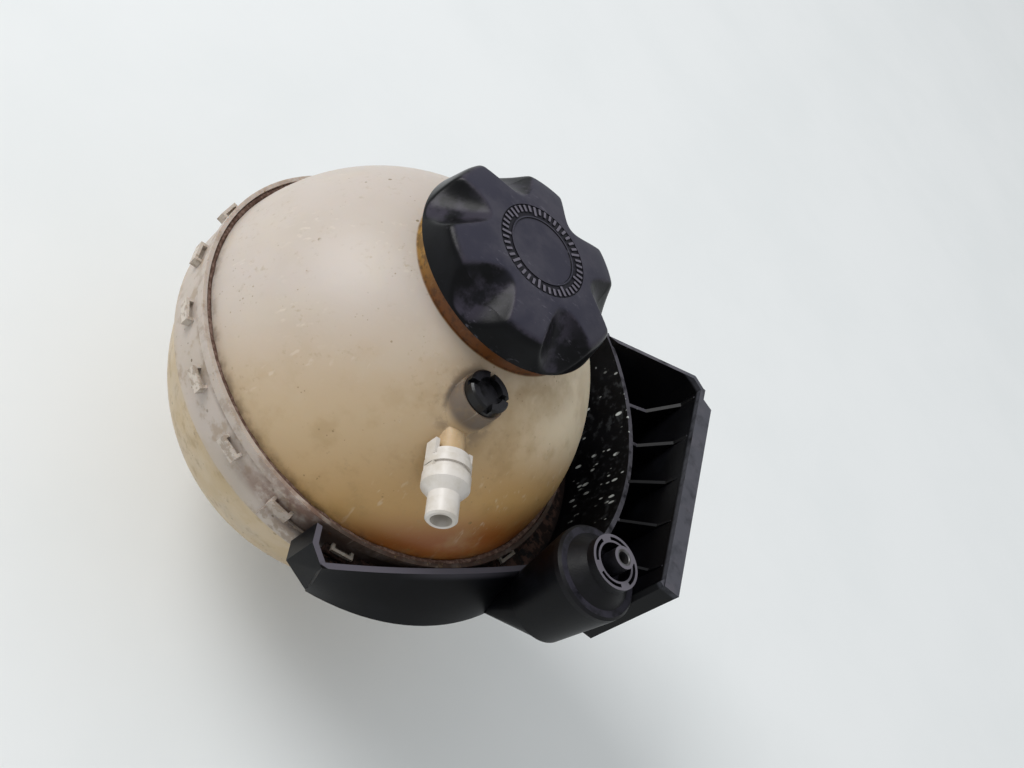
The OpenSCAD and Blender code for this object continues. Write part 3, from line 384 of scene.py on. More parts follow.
@dataclass(frozen=True)
class AgedPolypropylene:
    """Natural moulded polypropylene that hot coolant has turned amber from inside.

    The wall is cloudy and lets light in a few millimetres, which softens its shading.
    """

    pale: str = "BAAFA6"
    tan: str = "BAA17D"
    amber: str = "B58F58"
    deep: str = "80440E"
    belt: str = "B5A99F"
    roughness: float = 0.42
    ior: float = 1.49

    def dome(self) -> bpy.types.Material:
        """Upper half: pale above, amber towards the holder, stained round neck and boss, with
        painted shade on the boss's wall and near the holder, and a painted lighter side.
        """
        coat = Coat("aged_polypropylene_upper", self.pale, self.roughness)
        down = Axis.PHOTO_DOWN
        coat.lay(coat.clouds(38, 0.42, 0.7, detail=3), "B3A799", 0.5)
        coat.lay(coat.along(down, -28, 24), self.tan, 0.92)
        coat.lay(coat.along(down, 16, 50), self.amber, 0.92)
        coat.lay(coat.along(down, 45, 60), self.deep, 0.96)
        # Painted light: the side turned away from the key lamp is made paler, as if it were lit
        # evenly.
        side = coat.both(coat.along(Axis.PHOTO_RIGHT, 34, 62), coat.along(down, 46, 22))
        coat.lay(side, "E0D0B4", 0.9)
        blotch = coat.clouds(13, 0.46, 0.68, shift=11)
        coat.lay(coat.both(coat.along(down, -20, 45), blotch), "96794A", 0.4)
        light = coat.both(coat.clouds(17, 0.5, 0.7, shift=44), coat.along(down, 40, -30))
        coat.lay(light, "BDB1A1", 0.4)
        below = coat.both(coat.shaft(36, 52), coat.along(down, -8, 12), coat.clouds(16, 0.3, 0.6))
        coat.lay(below, "866C42", 0.6)
        neck = coat.both(coat.shaft(33.5, 34.2), coat.along(Axis.UP, 50, 54))
        coat.lay(neck, "9C7428", 0.95, 0.5)
        coat.lay(coat.both(neck, coat.along(down, -42, -16)), "5E2E0F", 0.9)
        coat.lay(coat.both(neck, coat.clouds(3, 0.46, 0.6)), "3A2412", 0.55)
        boss = (9.50, -44.70)
        rise = coat.along(Axis.UP, 43.5, 48)
        # The boss's wall below the screw head: dirt with painted shade, dark grey-brown.
        coat.lay(coat.both(coat.shaft(8.4, 10.2, boss), rise), "5E544D", 0.9, 0.6)
        coat.lay(coat.both(coat.shaft(8.4, 13, boss), coat.clouds(5, 0.45, 0.62)), "7C6A55", 0.6)
        foot = coat.both(coat.along(Axis.UP, 4.5, 0), coat.clouds(4.5, 0.4, 0.66))
        coat.lay(foot, "5C4630", 0.5, 0.7)
        coat.lay(coat.shaft(76.3, 75.8), self.belt, 0.95, 0.5)
        ring = coat.both(coat.shaft(76.3, 75.8), coat.clouds(5, 0.46, 0.64, shift=8))
        coat.lay(ring, "8F7E6F", 0.55, 0.6)
        self.soil_seam(coat, coat.shaft(76.3, 75.0))
        specks = coat.both(coat.specks(4.2, 0.8), coat.clouds(18, 0.53, 0.62, shift=31))
        coat.lay(specks, "6B5A2C", 0.75)
        fine = coat.both(coat.specks(1.7, 0.42, 5), coat.clouds(15, 0.5, 0.62, shift=70))
        coat.lay(fine, "7B6540", 0.6)
        crumbs = coat.clouds(2.2, 0.55, 0.7, detail=6)
        coat.lay(coat.both(crumbs, coat.clouds(26, 0.46, 0.62, shift=12)), "937D5A", 0.35)
        scratch = coat.clouds(2.4, 0.6, 0.72, detail=2, stretch=(1, 1, 0.05), shift=7)
        coat.lay(coat.both(scratch, coat.clouds(34, 0.48, 0.62, shift=3)), "DDD3C4", 0.25)
        coat.raise_by(coat.clouds(1.6, 0.2, 0.8, detail=6), 0.014)
        coat.raise_by(coat.clouds(9, 0.2, 0.8, detail=2), 0.06)
        return coat.done(
            IOR=self.ior,
            Specular_IOR_Level=0.35,
            Subsurface_Weight=0.15,
            Subsurface_Radius=(0.005, 0.0025, 0.0012),
            Subsurface_Scale=1.0,
        )

    def soil_seam(self, coat: Coat, where: bpy.types.NodeSocket) -> None:
        """Lays the red-brown grime that thickens towards the holder, and next to the holder grime
        with painted shade, nearly black.
        """
        down = Axis.PHOTO_DOWN
        patchy = coat.clouds(6, 0.3, 0.58, detail=6, shift=17)
        coat.lay(coat.both(where, coat.along(down, 24, 46), patchy), "6B4C3E", 0.85, 0.75)
        # Grime with painted shade where the belt lies between the holder and the tank, nearly
        # black.
        grime_and_painted_shade = coat.both(where, coat.along(down, 44, 54))
        coat.lay(grime_and_painted_shade, "2B1D15", 0.85, 0.8)

    def belly(self) -> bpy.types.Material:
        """Lower half: greyer, dusty and smeared, with yellower plastic below the belt."""
        coat = Coat("aged_polypropylene_lower", self.belt, 0.5)
        low = coat.along(Axis.UP, -17, -26)
        coat.lay(low, "BFA985", 0.85, 0.42)
        coat.lay(coat.clouds(22, 0.44, 0.66), "A89A88", 0.4)
        coat.lay(coat.clouds(7, 0.52, 0.68, detail=6, shift=19), "8A755A", 0.5, 0.6)
        seam = coat.both(coat.along(Axis.UP, -6, -3.2), coat.clouds(4, 0.4, 0.6))
        coat.lay(seam, "6B5647", 0.6, 0.7)
        coat.lay(coat.along(Axis.PHOTO_DOWN, 55, 92), "6B4A22", 0.75)
        self.soil_seam(coat, coat.along(Axis.UP, -16, -10))
        coat.lay(coat.both(low, coat.clouds(14, 0.4, 0.62, shift=5)), "AD925F", 0.4)
        under = coat.both(coat.along(Axis.UP, -10.4, -9.6), coat.shaft(77.4, 77.1))
        coat.lay(under, "CDC3B6", 0.5)
        lugs = coat.both(coat.shaft(77.5, 77.2), coat.clouds(3, 0.46, 0.58, shift=2))
        coat.lay(lugs, "84715E", 0.6, 0.7)
        specks = coat.both(coat.specks(3.2, 0.75, 9), coat.clouds(15, 0.5, 0.6, shift=40))
        coat.lay(specks, "5A4A2E", 0.8)
        coat.raise_by(coat.clouds(1.4, 0.2, 0.8, detail=6), 0.02)
        return coat.done(
            IOR=self.ior,
            Subsurface_Weight=0.1,
            Subsurface_Radius=(0.004, 0.002, 0.001),
        )


@dataclass(frozen=True)
class BlackNylon:
    """Black glass-filled nylon, moulded: satin, greyed by dust and rubbing."""

    base: str = "050507"
    ior: float = 1.53
    gloss: float = 0.12

    def cap(self) -> bpy.types.Material:
        """The grip cap: a blue-grey dust film with painted reflection on what faces up, black and
        glossier sides.
        """
        coat = Coat("black_nylon_cap", "060608", 0.28)
        coat.lay(coat.clouds(9, 0.42, 0.7), "0D0D11", 0.7, 0.34)
        # Dust film with painted reflection of the overhead light on what faces up, in two layers.
        coat.lay(coat.facing(Axis.UP, 0.72, 0.98), "353440", 0.92, 0.5)
        film = coat.both(coat.facing(Axis.UP, 0.85, 1.0), coat.clouds(16, 0.38, 0.66, shift=3))
        coat.lay(film, "4A4850", 0.6, 0.58)
        rubbed = coat.both(coat.facing(Axis.UP, 0.55, 0.8), coat.facing(Axis.UP, 0.97, 0.86))
        coat.lay(coat.both(rubbed, coat.clouds(7, 0.4, 0.62, shift=6)), "3C3843", 0.7)
        # Painted shade on the floor of the sunk ring round the disc, between the ticks.
        painted_recess_shade = coat.both(
            coat.shaft(17.1, 17.3), coat.shaft(12.6, 12.4), coat.along(Axis.UP, 77.85, 77.7)
        )
        coat.lay(painted_recess_shade, "17161B", 0.8)
        high = coat.both(coat.shaft(17.3, 17.5), coat.along(Axis.UP, 77.9, 78.0))
        coat.lay(high, "6C6872", 0.8, 0.6)
        scuff = coat.clouds(1.3, 0.58, 0.68, detail=6, stretch=(0.4, 1, 1))
        coat.lay(coat.both(scuff, coat.clouds(14, 0.47, 0.62, shift=4)), "77747E", 0.3, 0.6)
        coat.raise_by(coat.clouds(0.6, 0.2, 0.8, detail=3), 0.008)
        coat.raise_by(coat.clouds(5, 0.2, 0.8, detail=3), 0.03)
        return coat.done(IOR=self.ior, Specular_IOR_Level=self.gloss)

    def holder(self) -> bpy.types.Material:
        """The holder: black, rubbed grey on its edges, dusty and with painted light on its top
        rim, with dried drops and road dirt.
        """
        coat = Coat("black_nylon_holder", self.base, 0.36)
        coat.lay(coat.clouds(15, 0.45, 0.7), "0B0C10", 0.7, 0.44)
        up = coat.facing(Axis.UP, 0.6, 0.85)
        edge = coat.both(up, coat.along(Axis.UP, 1.6, 3.2))
        coat.lay(coat.both(edge, coat.clouds(6, 0.24, 0.56)), "5B5960", 0.85, 0.55)
        lip = coat.both(up, coat.along(Axis.UP, -1.2, 0.4), coat.along(Axis.UP, 1.6, 1.2))
        coat.lay(coat.both(lip, coat.shaft(91.5, 91.8)), "625F68", 0.85, 0.5)
        # Dust with painted light on the outer wall's top rim, which faces the lamp.
        rim = coat.both(coat.along(Axis.UP, 39.8, 41), coat.clouds(5, 0.2, 0.6))
        coat.lay(rim, "4A4B52", 0.7, 0.55)
        inside = coat.both(
            coat.shaft(92.3, 93), coat.along(Axis.OUT, 72, 80), coat.along(Axis.UP, -8.5, -4)
        )
        drops = coat.both(
            coat.specks(2.3, 0.85, 21, (1, 1, 0.42)), coat.clouds(9, 0.36, 0.5, shift=21)
        )
        coat.lay(coat.both(inside, drops), "C9CDCA", 0.85, 0.7)
        haze = coat.both(inside, coat.clouds(3, 0.52, 0.66, detail=6, shift=33))
        coat.lay(haze, "56585B", 0.25, 0.7)
        thin = coat.both(coat.specks(4.6, 0.55, 15), coat.clouds(12, 0.58, 0.66, shift=2))
        coat.lay(thin, "8E9090", 0.6, 0.7)
        level = coat.both(up, coat.along(Axis.UP, -8.2, -9.0), coat.along(Axis.UP, -13, -12))
        soil = coat.both(level, coat.clouds(6, 0.34, 0.6))
        coat.lay(soil, "2A1F1B", 0.9, 0.85)
        pile = coat.both(level, coat.shaft(86, 88), coat.clouds(3, 0.44, 0.6, shift=9))
        coat.lay(pile, "5A433A", 0.7, 0.85)
        coat.raise_by(coat.clouds(0.8, 0.2, 0.8, detail=3), 0.012)
        coat.raise_by(soil, 0.3)
        return coat.done(IOR=self.ior, Specular_IOR_Level=self.gloss)


@dataclass(frozen=True)
class PlainStuff:
    """A finish that one colour, some mottling, dust on top and fine relief describe."""

    name: str
    colour: str
    mottle: str
    roughness: float
    patch: float = 6.0
    relief: float = 0.01
    metallic: float = 0.0
    ior: float = 1.5
    gloss: float = 0.5
    dust: str = ""
    rub: str = ""
    rub_from: float = 0.0

    def made(self) -> bpy.types.Material:
        """Builds the material."""
        coat = Coat(self.name, self.colour, self.roughness)
        rougher = min(1.0, self.roughness + 0.15)
        coat.lay(coat.clouds(self.patch, 0.4, 0.7), self.mottle, 0.7, rougher)
        if self.dust:
            level = coat.facing(Axis.UP, 0.7, 0.95)
            film = coat.both(level, coat.clouds(self.patch, 0.3, 0.6, shift=5))
            coat.lay(film, self.dust, 0.8, rougher)
        if self.rub:
            top = coat.along(Axis.UP, self.rub_from - 0.5, self.rub_from)
            coat.lay(coat.both(coat.facing(Axis.UP, 0.5, 0.8), top), self.rub, 0.85, rougher)
        coat.raise_by(coat.clouds(self.patch / 8, 0.2, 0.8, detail=5), self.relief)
        return coat.done(Metallic=self.metallic, IOR=self.ior, Specular_IOR_Level=self.gloss)


# Seals: soft black rubber, matt where it isn't wet
RUBBER = PlainStuff("epdm_rubber_black", "0E0E10", "1C1B1C", 0.6, 4, gloss=0.3)
# The bush: natural rubber with a bloom, dust on its flange and a rubbed grey top ring
BUSH_RUBBER = PlainStuff(
    "natural_rubber_dusty",
    "08080B",
    "131217",
    0.45,
    5,
    0.03,
    gloss=0.2,
    dust="35333D",
    rub="6C6870",
    rub_from=38.9,
)
# Valve discs: white acetal with a dull shine
ACETAL = PlainStuff("acetal_white", "CFCBC0", "B9B4A6", 0.4)
# Springs: drawn steel wire, bright with faint grey bands
SPRING_WIRE = PlainStuff("spring_steel_drawn", "A8A9AB", "8C8B88", 0.3, 3, 0.004, 1.0)
# Sleeve in the bush: zinc plating gone dull
SLEEVE = PlainStuff("zinc_plated_steel_dull", "6E6E70", "4B463F", 0.5, 3, 0.01, 1.0)
# Plug under the cap: black nylon that stays wet and clean
PLUG_NYLON = PlainStuff("black_nylon_plug", "151517", "202023", 0.45)
# Vent connector: clear white polyamide, a little yellowed
FITTING = PlainStuff("polyamide_white_clear", "CFC9C2", "BDB5A8", 0.34, 5, 0.01)
# Bleed screw: black nylon, greasy in the slots
BLEED_NYLON = PlainStuff("black_nylon_bleed", "070708", "101013", 0.3, 3, gloss=0.3, dust="1E1D22")
# What has settled in the seam's groove: grit in dried oil, dull and brown
SEAM_GRIT = PlainStuff("road_grit_in_oil", "5E473D", "9A8276", 0.9, 1.6, 0.12, gloss=0.2)
# What lies on the holder's ledge: wetter, darker grit with rusty grains
LEDGE_GRIT = PlainStuff("road_grit_wet", "1C1512", "5A4038", 0.85, 2.4, 0.15, gloss=0.2)


def shown(name: str, body: str) -> bpy.types.Object:
    """Names the active object, smooths it and lets it ride on a body.

    Args:
        name: Name of the piece.
        body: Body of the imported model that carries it.

    Returns:
        The piece.
    """
    piece = bpy.context.object
    piece.name = name
    bpy.ops.object.shade_smooth_by_angle(angle=math.radians(32))
    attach(piece, body)
    LOG.info("%s rides on %s with %d faces", name, body, len(piece.data.polygons))
    return piece


def spin_outline(outline: list[tuple[float, float]], steps: int) -> bpy.types.Object:
    """Spins an outline round the tank's axis into a closed solid.

    Args:
        outline: Radius and height in millimetres, from the axis back to the axis.
        steps: Stations of a full turn.

    Returns:
        The solid, active and in object mode.
    """
    bpy.ops.object.select_all(action="DESELECT")
    bpy.ops.mesh.primitive_circle_add(vertices=len(outline), location=(0, 0, 0))
    solid = bpy.context.object
    for vertex, (radius, height) in zip(solid.data.vertices, outline):
        vertex.co = place(radius, 0, height)
    bpy.ops.object.mode_set(mode="EDIT")
    bpy.ops.mesh.select_all(action="DESELECT")
    bpy.ops.mesh.select_mode(type="EDGE")
    bpy.ops.object.mode_set(mode="OBJECT")
    ends = {0, len(outline) - 1}
    for edge in solid.data.edges:
        edge.select = set(edge.vertices) == ends
    bpy.ops.object.mode_set(mode="EDIT")
    bpy.ops.mesh.delete(type="EDGE")
    bpy.ops.mesh.select_all(action="SELECT")
    bpy.ops.mesh.spin(
        steps=steps, angle=math.tau, center=place(0, 0, 0), axis=Axis.UP.value
    )
    bpy.ops.mesh.select_all(action="SELECT")
    bpy.ops.mesh.remove_doubles(threshold=MILLI / 200)
    bpy.ops.mesh.normals_make_consistent(inside=False)
    bpy.ops.object.mode_set(mode="OBJECT")
    return solid


@dataclass
class ScrewCap:
    """The grip cap with six scallops, modelled as one moulded shell."""

    crown_z: float = 77.9
    crown_from: float = 17.6
    crown_steps: int = 36
    shoulder: tuple[float, float] = (35.0, 74.5)
    rim: tuple[float, float] = (37.3, 63.8)
    skirt_steps: int = 19
    rim_bevel: tuple[float, float] = (0.2, 0.12)
    wall: float = 2.3
    roof_from: tuple[float, float] = (34.0, 64.98)
    roof_slope: float = 0.83
    roof_steps: int = 16
    tube_radius: float = 26.0
    tube_bore: float = 23.45
    tube_bottom: float = 52.8
    tube_stations: tuple[float, float] = (66.0, 60.0)
    tube_bevel: float = 0.3
    recess: tuple[float, float, float] = (24.6, 67.0, 69.0)
    chamber: tuple[tuple[float, float], ...] = (
        (23.45, 73.6),
        (20.2, 75.7),
        (10.0, 75.75),
        (0.0, 75.75),
    )
    lobes: int = 6
    first_scallop: float = 9.5
    valley_start: tuple[float, float] = (20.6, 77.9)
    valley_end: tuple[float, float] = (35.2, 65.9)
    valley_curve: tuple[float, float] = (6.0, 0.5)
    softness: float = 0.6
    least_slant: float = 0.3
    fade_steps: tuple[int, int] = (6, 3)
    disc_radius: float = 12.3
    disc_depth: float = 0.35
    ring: tuple[float, float] = (12.9, 17.1)
    tick_count: int = 45
    long_tick_every: int = 5
    tick_width: float = 0.95
    tick_top: float = 78.1
    tick_margin: float = 0.3
    tick_shortening: float = 1.1
    tick_sunk: float = 0.2
    tick_bevel: float = 0.12
    thread: tuple[float, float, float] = (25.6, 27.1, 54.0)
    thread_datum: float = 54.6
    ridge_halves: tuple[float, float] = (0.95, 0.45)
    lead: float = 8.0
    thread_starts: int = 2
    thread_steps: int = 72
    steps: int = 360

    def outer_outline(self) -> list[tuple[float, float]]:
        """Gives the skin's radius and height from the disc's edge to the rim."""
        run = self.shoulder[0] - self.crown_from
        drop = self.crown_z - self.shoulder[1]
        bend = (run * run + drop * drop) / (2 * drop)
        points = []
        for i in range(self.crown_steps + 1):
            out = run * i / self.crown_steps
            height = self.crown_z - bend + math.sqrt(bend**2 - out**2)
            points.append((self.crown_from + out, height))
        corner = points.pop()
        for i in range(1, self.skirt_steps + 1):
            share = i / self.skirt_steps
            radius = corner[0] + (self.rim[0] - corner[0]) * share
            points.append((radius, corner[1] + (self.rim[1] - corner[1]) * share))
        return self.rounded(points, self.crown_steps)

    def rounded(self, points: list[tuple[float, float]], at: int) -> list[tuple[float, float]]:
        """Rounds the corner at a point by pulling it and its neighbours to a smooth path."""
        passes, span, pull = 6, 3, 0.25
        for _ in range(passes):
            for i in range(at - span, at + span + 1):
                before, here, after = points[i - 1], points[i], points[i + 1]
                points[i] = (
                    here[0] + pull * (before[0] + after[0] - 2 * here[0]),
                    here[1] + pull * (before[1] + after[1] - 2 * here[1]),
                )
        return points

    def outline(self) -> tuple[list[tuple[float, float]], int, int]:
        """Gives the whole outline, with the first and last number of its outer skin."""
        floor = self.crown_z - self.disc_depth
        inner, outer = self.ring
        start = [(0.0, floor), (4.0, floor), (8.0, floor), (self.disc_radius - 0.2, floor)]
        start += [(self.disc_radius, self.crown_z), (inner - 0.1, self.crown_z), (inner, floor)]
        start += [(outer, floor), (outer + 0.15, self.crown_z)]
        skin = self.outer_outline()
        across, under = self.rim_bevel
        inside = self.rim[0] - self.wall
        edge = [(self.rim[0] - across, self.rim[1] - under)]
        edge += [(inside + across, self.rim[1] - under), (inside, self.rim[1])]
        roof = []
        widest, lowest = self.roof_from
        for i in range(self.roof_steps + 1):
            radius = widest + (self.tube_radius - widest) * i / self.roof_steps
            roof.append((radius, lowest + (widest - radius) * self.roof_slope))
        return start + skin + edge + roof + self.tube(), len(start), len(start) + len(skin) - 1

    def tube(self) -> list[tuple[float, float]]:
        """Gives the threaded tube's outline, down its outside and up its bore."""
        outside, bore, bottom, bevel = (
            self.tube_radius,
            self.tube_bore,
            self.tube_bottom,
            self.tube_bevel,
        )
        high, low = self.tube_stations
        recess, recess_low, recess_high = self.recess
        lip = 0.05
        points = [(outside, high), (outside, low), (outside, bottom + bevel)]
        points += [(outside - bevel, bottom), (bore + bevel, bottom), (bore, bottom + bevel)]
        points += [(bore, low), (bore, recess_low), (recess, recess_low + lip)]
        points += [(recess, recess_high), (bore, recess_high + lip)]
        return points + list(self.chamber)

    def sink(self, point: tuple[float, float, float], inward: tuple[float, float]) -> float:
        """Finds how far a scallop pushes the skin in at a point.

        Args:
            point: Distance out along the scallop, distance to its side, and height.
            inward: Radial and upright part of the skin's inward normal.

        Returns:
            The push in millimetres, softened at the scallop's edge.
        """
        out, side, height = point
        run = self.valley_end[0] - self.valley_start[0]
        fall = self.valley_end[1] - self.valley_start[1]
        length = math.hypot(run, fall)
        ahead, rise = out - self.valley_start[0], height - self.valley_start[1]
        along = (ahead * run + rise * fall) / length
        above = (rise * run - ahead * fall) / length
        curve = self.valley_curve[0] + self.valley_curve[1] * max(0.0, along)
        depth = above - side * side / (2 * curve)
        toward = -(inward[1] * run - inward[0] * fall) / length
        depth = depth / max(self.least_slant, toward)
        return (depth + math.sqrt(depth * depth + self.softness**2)) / 2

    def press_scallops(self, solid: bpy.types.Object, first: int, last: int) -> None:
        """Pushes the outer skin in where the six scallops lie.

        Args:
            solid: The spun cap.
            first: First outline point of the outer skin.
            last: Last outline point of the outer skin.
        """
        outline = self.outline()[0]
        normals = {}
        for i in range(first, last + 1):
            before, after = outline[max(first, i - 1)], outline[min(last, i + 1)]
            size = math.hypot(after[0] - before[0], after[1] - before[1])
            normals[i] = ((after[1] - before[1]) / size, -(after[0] - before[0]) / size)
        step = 360 / self.lobes
        # What the softening alone gives far outside a scallop, taken off everywhere
        rest = self.sink((20.0, 30.0, 60.0), (0.0, -1.0))
        axis = place(0, 0, 0)
        same_point = 0.02
        start_fade, end_fade = self.fade_steps
        for vertex in solid.data.vertices:
            flat = (vertex.co - axis) / MILLI
            radius, height = math.hypot(flat.x, flat.y), flat.z
            gaps = {
                i: abs(outline[i][0] - radius) + abs(outline[i][1] - height) for i in normals
            }
            near = min(gaps, key=gaps.get)
            if gaps[near] > same_point:
                continue
            turn = math.degrees(math.atan2(flat.y, flat.x)) - self.first_scallop
            turn = math.radians((turn + step / 2) % step - step / 2)
            fade = min(1.0, (near - first) / start_fade) * min(1.0, (last - near) / end_fade)
            spot = (radius * math.cos(turn), radius * math.sin(turn), height)
            push = max(0.0, self.sink(spot, normals[near]) - rest) * fade * MILLI
            way = Vector((flat.x / radius, flat.y / radius, 0)) * normals[near][0]
            vertex.co += (way + Vector((0, 0, normals[near][1]))) * push

    def add_ticks(self) -> None:
        """Adds the raised ring of plain ticks round the disc."""
        inner, outer = self.ring
        floor = self.crown_z - self.disc_depth
        for i in range(self.tick_count):
            turn = math.tau * i / self.tick_count
            begin = inner + self.tick_margin
            if i % self.long_tick_every:
                begin += self.tick_shortening
            end = outer - self.tick_margin
            middle = (begin + end) / 2
            low = floor - self.tick_sunk
            centre = place(
                middle * math.cos(turn), middle * math.sin(turn), (low + self.tick_top) / 2
            )
            bpy.ops.mesh.primitive_cube_add(size=MILLI, location=centre, rotation=(0, 0, turn))
            tick = bpy.context.object
            tick.scale = (end - begin, self.tick_width, self.tick_top - low)
            bpy.ops.object.transform_apply(location=True, rotation=True, scale=True)
            bpy.ops.object.modifier_add(type="BEVEL")
            tick.modifiers[-1].width = self.tick_bevel * MILLI
            bpy.ops.object.modifier_apply(modifier=tick.modifiers[-1].name)
            tick.name = f"tick_{i}"

    def add_threads(self) -> None:
        """Adds the two starts of the cap's thread."""
        root, crest, bottom = self.thread
        first = math.tau * (bottom - self.thread_datum - self.lead / 4) / self.lead
        wide, narrow = self.ridge_halves
        for start in range(self.thread_starts):
            bpy.ops.object.select_all(action="DESELECT")
            bpy.ops.mesh.primitive_circle_add(vertices=4, location=(0, 0, 0))
            ridge = bpy.context.object
            shape = ((root, -wide), (crest, -narrow), (crest, narrow), (root, wide))
            for vertex, (radius, height) in zip(ridge.data.vertices, shape):
                vertex.co = Vector((radius, 0, height)) * MILLI
            bpy.ops.object.modifier_add(type="SCREW")
            screw = ridge.modifiers[-1]
            screw.angle = math.tau
            screw.screw_offset = self.lead * MILLI
            screw.steps = self.thread_steps
            screw.render_steps = self.thread_steps
            bpy.ops.object.modifier_apply(modifier=screw.name)
            bpy.ops.object.mode_set(mode="EDIT")
            bpy.ops.mesh.select_all(action="SELECT")
            bpy.ops.mesh.fill_holes(sides=4)
            bpy.ops.mesh.normals_make_consistent(inside=False)
            bpy.ops.object.mode_set(mode="OBJECT")
            ridge.rotation_euler = (0, 0, first + math.tau * start / self.thread_starts)
            ridge.location = place(0, 0, bottom)
            bpy.ops.object.transform_apply(location=True, rotation=True, scale=True)
            ridge.name = f"thread_{start}"

    def build(self, finish: bpy.types.Material) -> None:
        """Builds the cap, joins its parts and lets it stand for the drawn one."""
        outline, first, last = self.outline()
        solid = spin_outline(outline, self.steps)
        self.press_scallops(solid, first, last)
        before = set(bpy.data.objects)
        self.add_ticks()
        self.add_threads()
        for extra in set(bpy.data.objects) - before:
            extra.select_set(True)
        solid.select_set(True)
        bpy.context.view_layer.objects.active = solid
        bpy.ops.object.join()
        solid.data.materials.clear()
        solid.data.materials.append(finish)
        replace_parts(shown("cap_moulding", "cap"), "cap_shell")


@dataclass
class GritBead:
    """Caked grit that has settled along a circle round the tank, rough and uneven.

    Attributes:
        name: Name of the piece.
        radius: Radius of the circle.
        height: Height of the bead's middle.
        thickness: Radius of the bead.
        sector: Azimuths between which it is kept, less than half a turn, or none.
    """

    name: str
    radius: float
    height: float
    thickness: float
    sector: tuple[float, float] | None = None
    roughness: float = 0.9
    grain: float = 1.3

    def build(self, finish: bpy.types.Material) -> None:
        """Builds the bead as a ring with a knobbly surface."""
        bpy.ops.object.select_all(action="DESELECT")
        bpy.ops.mesh.primitive_torus_add(
            major_segments=900,
            minor_segments=14,
            major_radius=self.radius * MILLI,
            minor_radius=self.thickness * MILLI,
            location=place(0, 0, self.height),
        )
        bead = bpy.context.object
        bpy.ops.object.transform_apply(location=True, rotation=True, scale=True)
        for name, size, strength in (("grit", self.grain, 1.0), ("heaps", 9.0, 1.1)):
            cloud = bpy.data.textures.new(name, "CLOUDS")
            cloud.noise_scale = size * MILLI
            cloud.noise_depth = 2
            bpy.ops.object.modifier_add(type="DISPLACE")
            push = bead.modifiers[-1]
            push.texture = cloud
            push.texture_coords = "GLOBAL"
            push.strength = self.roughness * strength * MILLI
            push.mid_level = 0.55
            bpy.ops.object.modifier_apply(modifier=push.name)
        if self.sector:
            self.cut_ends()
        bead.data.materials.append(finish)
        shown(self.name, "tank")

    def cut_ends(self) -> None:
        """Keeps the sector and closes the two cuts."""
        bpy.ops.object.mode_set(mode="EDIT")
        for azimuth, side in zip(self.sector, (1, -1)):
            turn = math.radians(azimuth)
            bpy.ops.mesh.select_all(action="SELECT")
            bpy.ops.mesh.bisect(
                plane_co=place(0, 0, self.height),
                plane_no=(-math.sin(turn) * side, math.cos(turn) * side, 0),
                use_fill=True,
                clear_inner=True,
            )
        bpy.ops.object.mode_set(mode="OBJECT")


@dataclass(frozen=True)
class SmoothMoulding:
    """A moulded piece whose drawn form is kept and whose curved faces are shaded smooth."""

    node: str
    body: str
    slot: str

    def build(self, frame: dict, finish: bpy.types.Material) -> None:
        """Copies the node, merges its triangles and lets the copy stand for it."""
        bpy.ops.object.select_all(action="DESELECT")
        drawn = frame["nodes"][self.node]
        piece = drawn.copy()
        piece.data = drawn.data.copy()
        bpy.context.collection.objects.link(piece)
        bpy.context.view_layer.objects.active = piece
        piece.select_set(True)
        bpy.ops.object.mode_set(mode="EDIT")
        bpy.ops.mesh.select_all(action="SELECT")
        bpy.ops.mesh.remove_doubles(threshold=MILLI / 500)
        bpy.ops.mesh.normals_make_consistent(inside=False)
        bpy.ops.object.mode_set(mode="OBJECT")
        if piece.data.has_custom_normals:
            bpy.ops.mesh.customdata_custom_splitnormals_clear()
        piece.data.materials.clear()
        piece.data.materials.append(finish)
        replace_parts(shown(self.node + "_moulding", self.body), self.node)


@dataclass
class Dressing:
    """Puts each finish on the nodes that are shown as drawn."""

    nodes: dict[str, bpy.types.Object]
    plastic: AgedPolypropylene = field(default_factory=AgedPolypropylene)
    nylon: BlackNylon = field(default_factory=BlackNylon)

    def recipes(self) -> dict[str, Callable[[], bpy.types.Material]]:
        """Gives the finish of each node."""
        return {
            "upper_shell": self.plastic.dome,
            "lower_shell": self.plastic.belly,
            "cap_shell": self.nylon.cap,
            "valve_insert": PLUG_NYLON.made,
            "neck_seal": RUBBER.made,
            "pressure_valve": ACETAL.made,
            "pressure_seal": RUBBER.made,
            "pressure_spring": SPRING_WIRE.made,
            "spring_retainer": ACETAL.made,
            "vacuum_valve": ACETAL.made,
            "vacuum_spring": SPRING_WIRE.made,
            "vacuum_spring_cup": ACETAL.made,
            "bleed_screw": BLEED_NYLON.made,
            "bleed_seal": RUBBER.made,
            "vent_connector": FITTING.made,
            "vent_clip": FITTING.made,
            "vent_seal": RUBBER.made,
            "bracket": self.nylon.holder,
            "rubber_bush": BUSH_RUBBER.made,
            "bush_sleeve": SLEEVE.made,
        }

    def dress(self) -> dict[str, bpy.types.Material]:
        """Gives every node its material, and returns them by node."""
        ready: dict[object, bpy.types.Material] = {}
        worn: dict[str, bpy.types.Material] = {}
        for name, recipe in self.recipes().items():
            if recipe not in ready:
                ready[recipe] = recipe()
            mesh = self.nodes[name].data
            mesh.materials.clear()
            mesh.materials.append(ready[recipe])
            worn[name] = ready[recipe]
            LOG.info("%s wears %s", name, ready[recipe].name)
        return worn


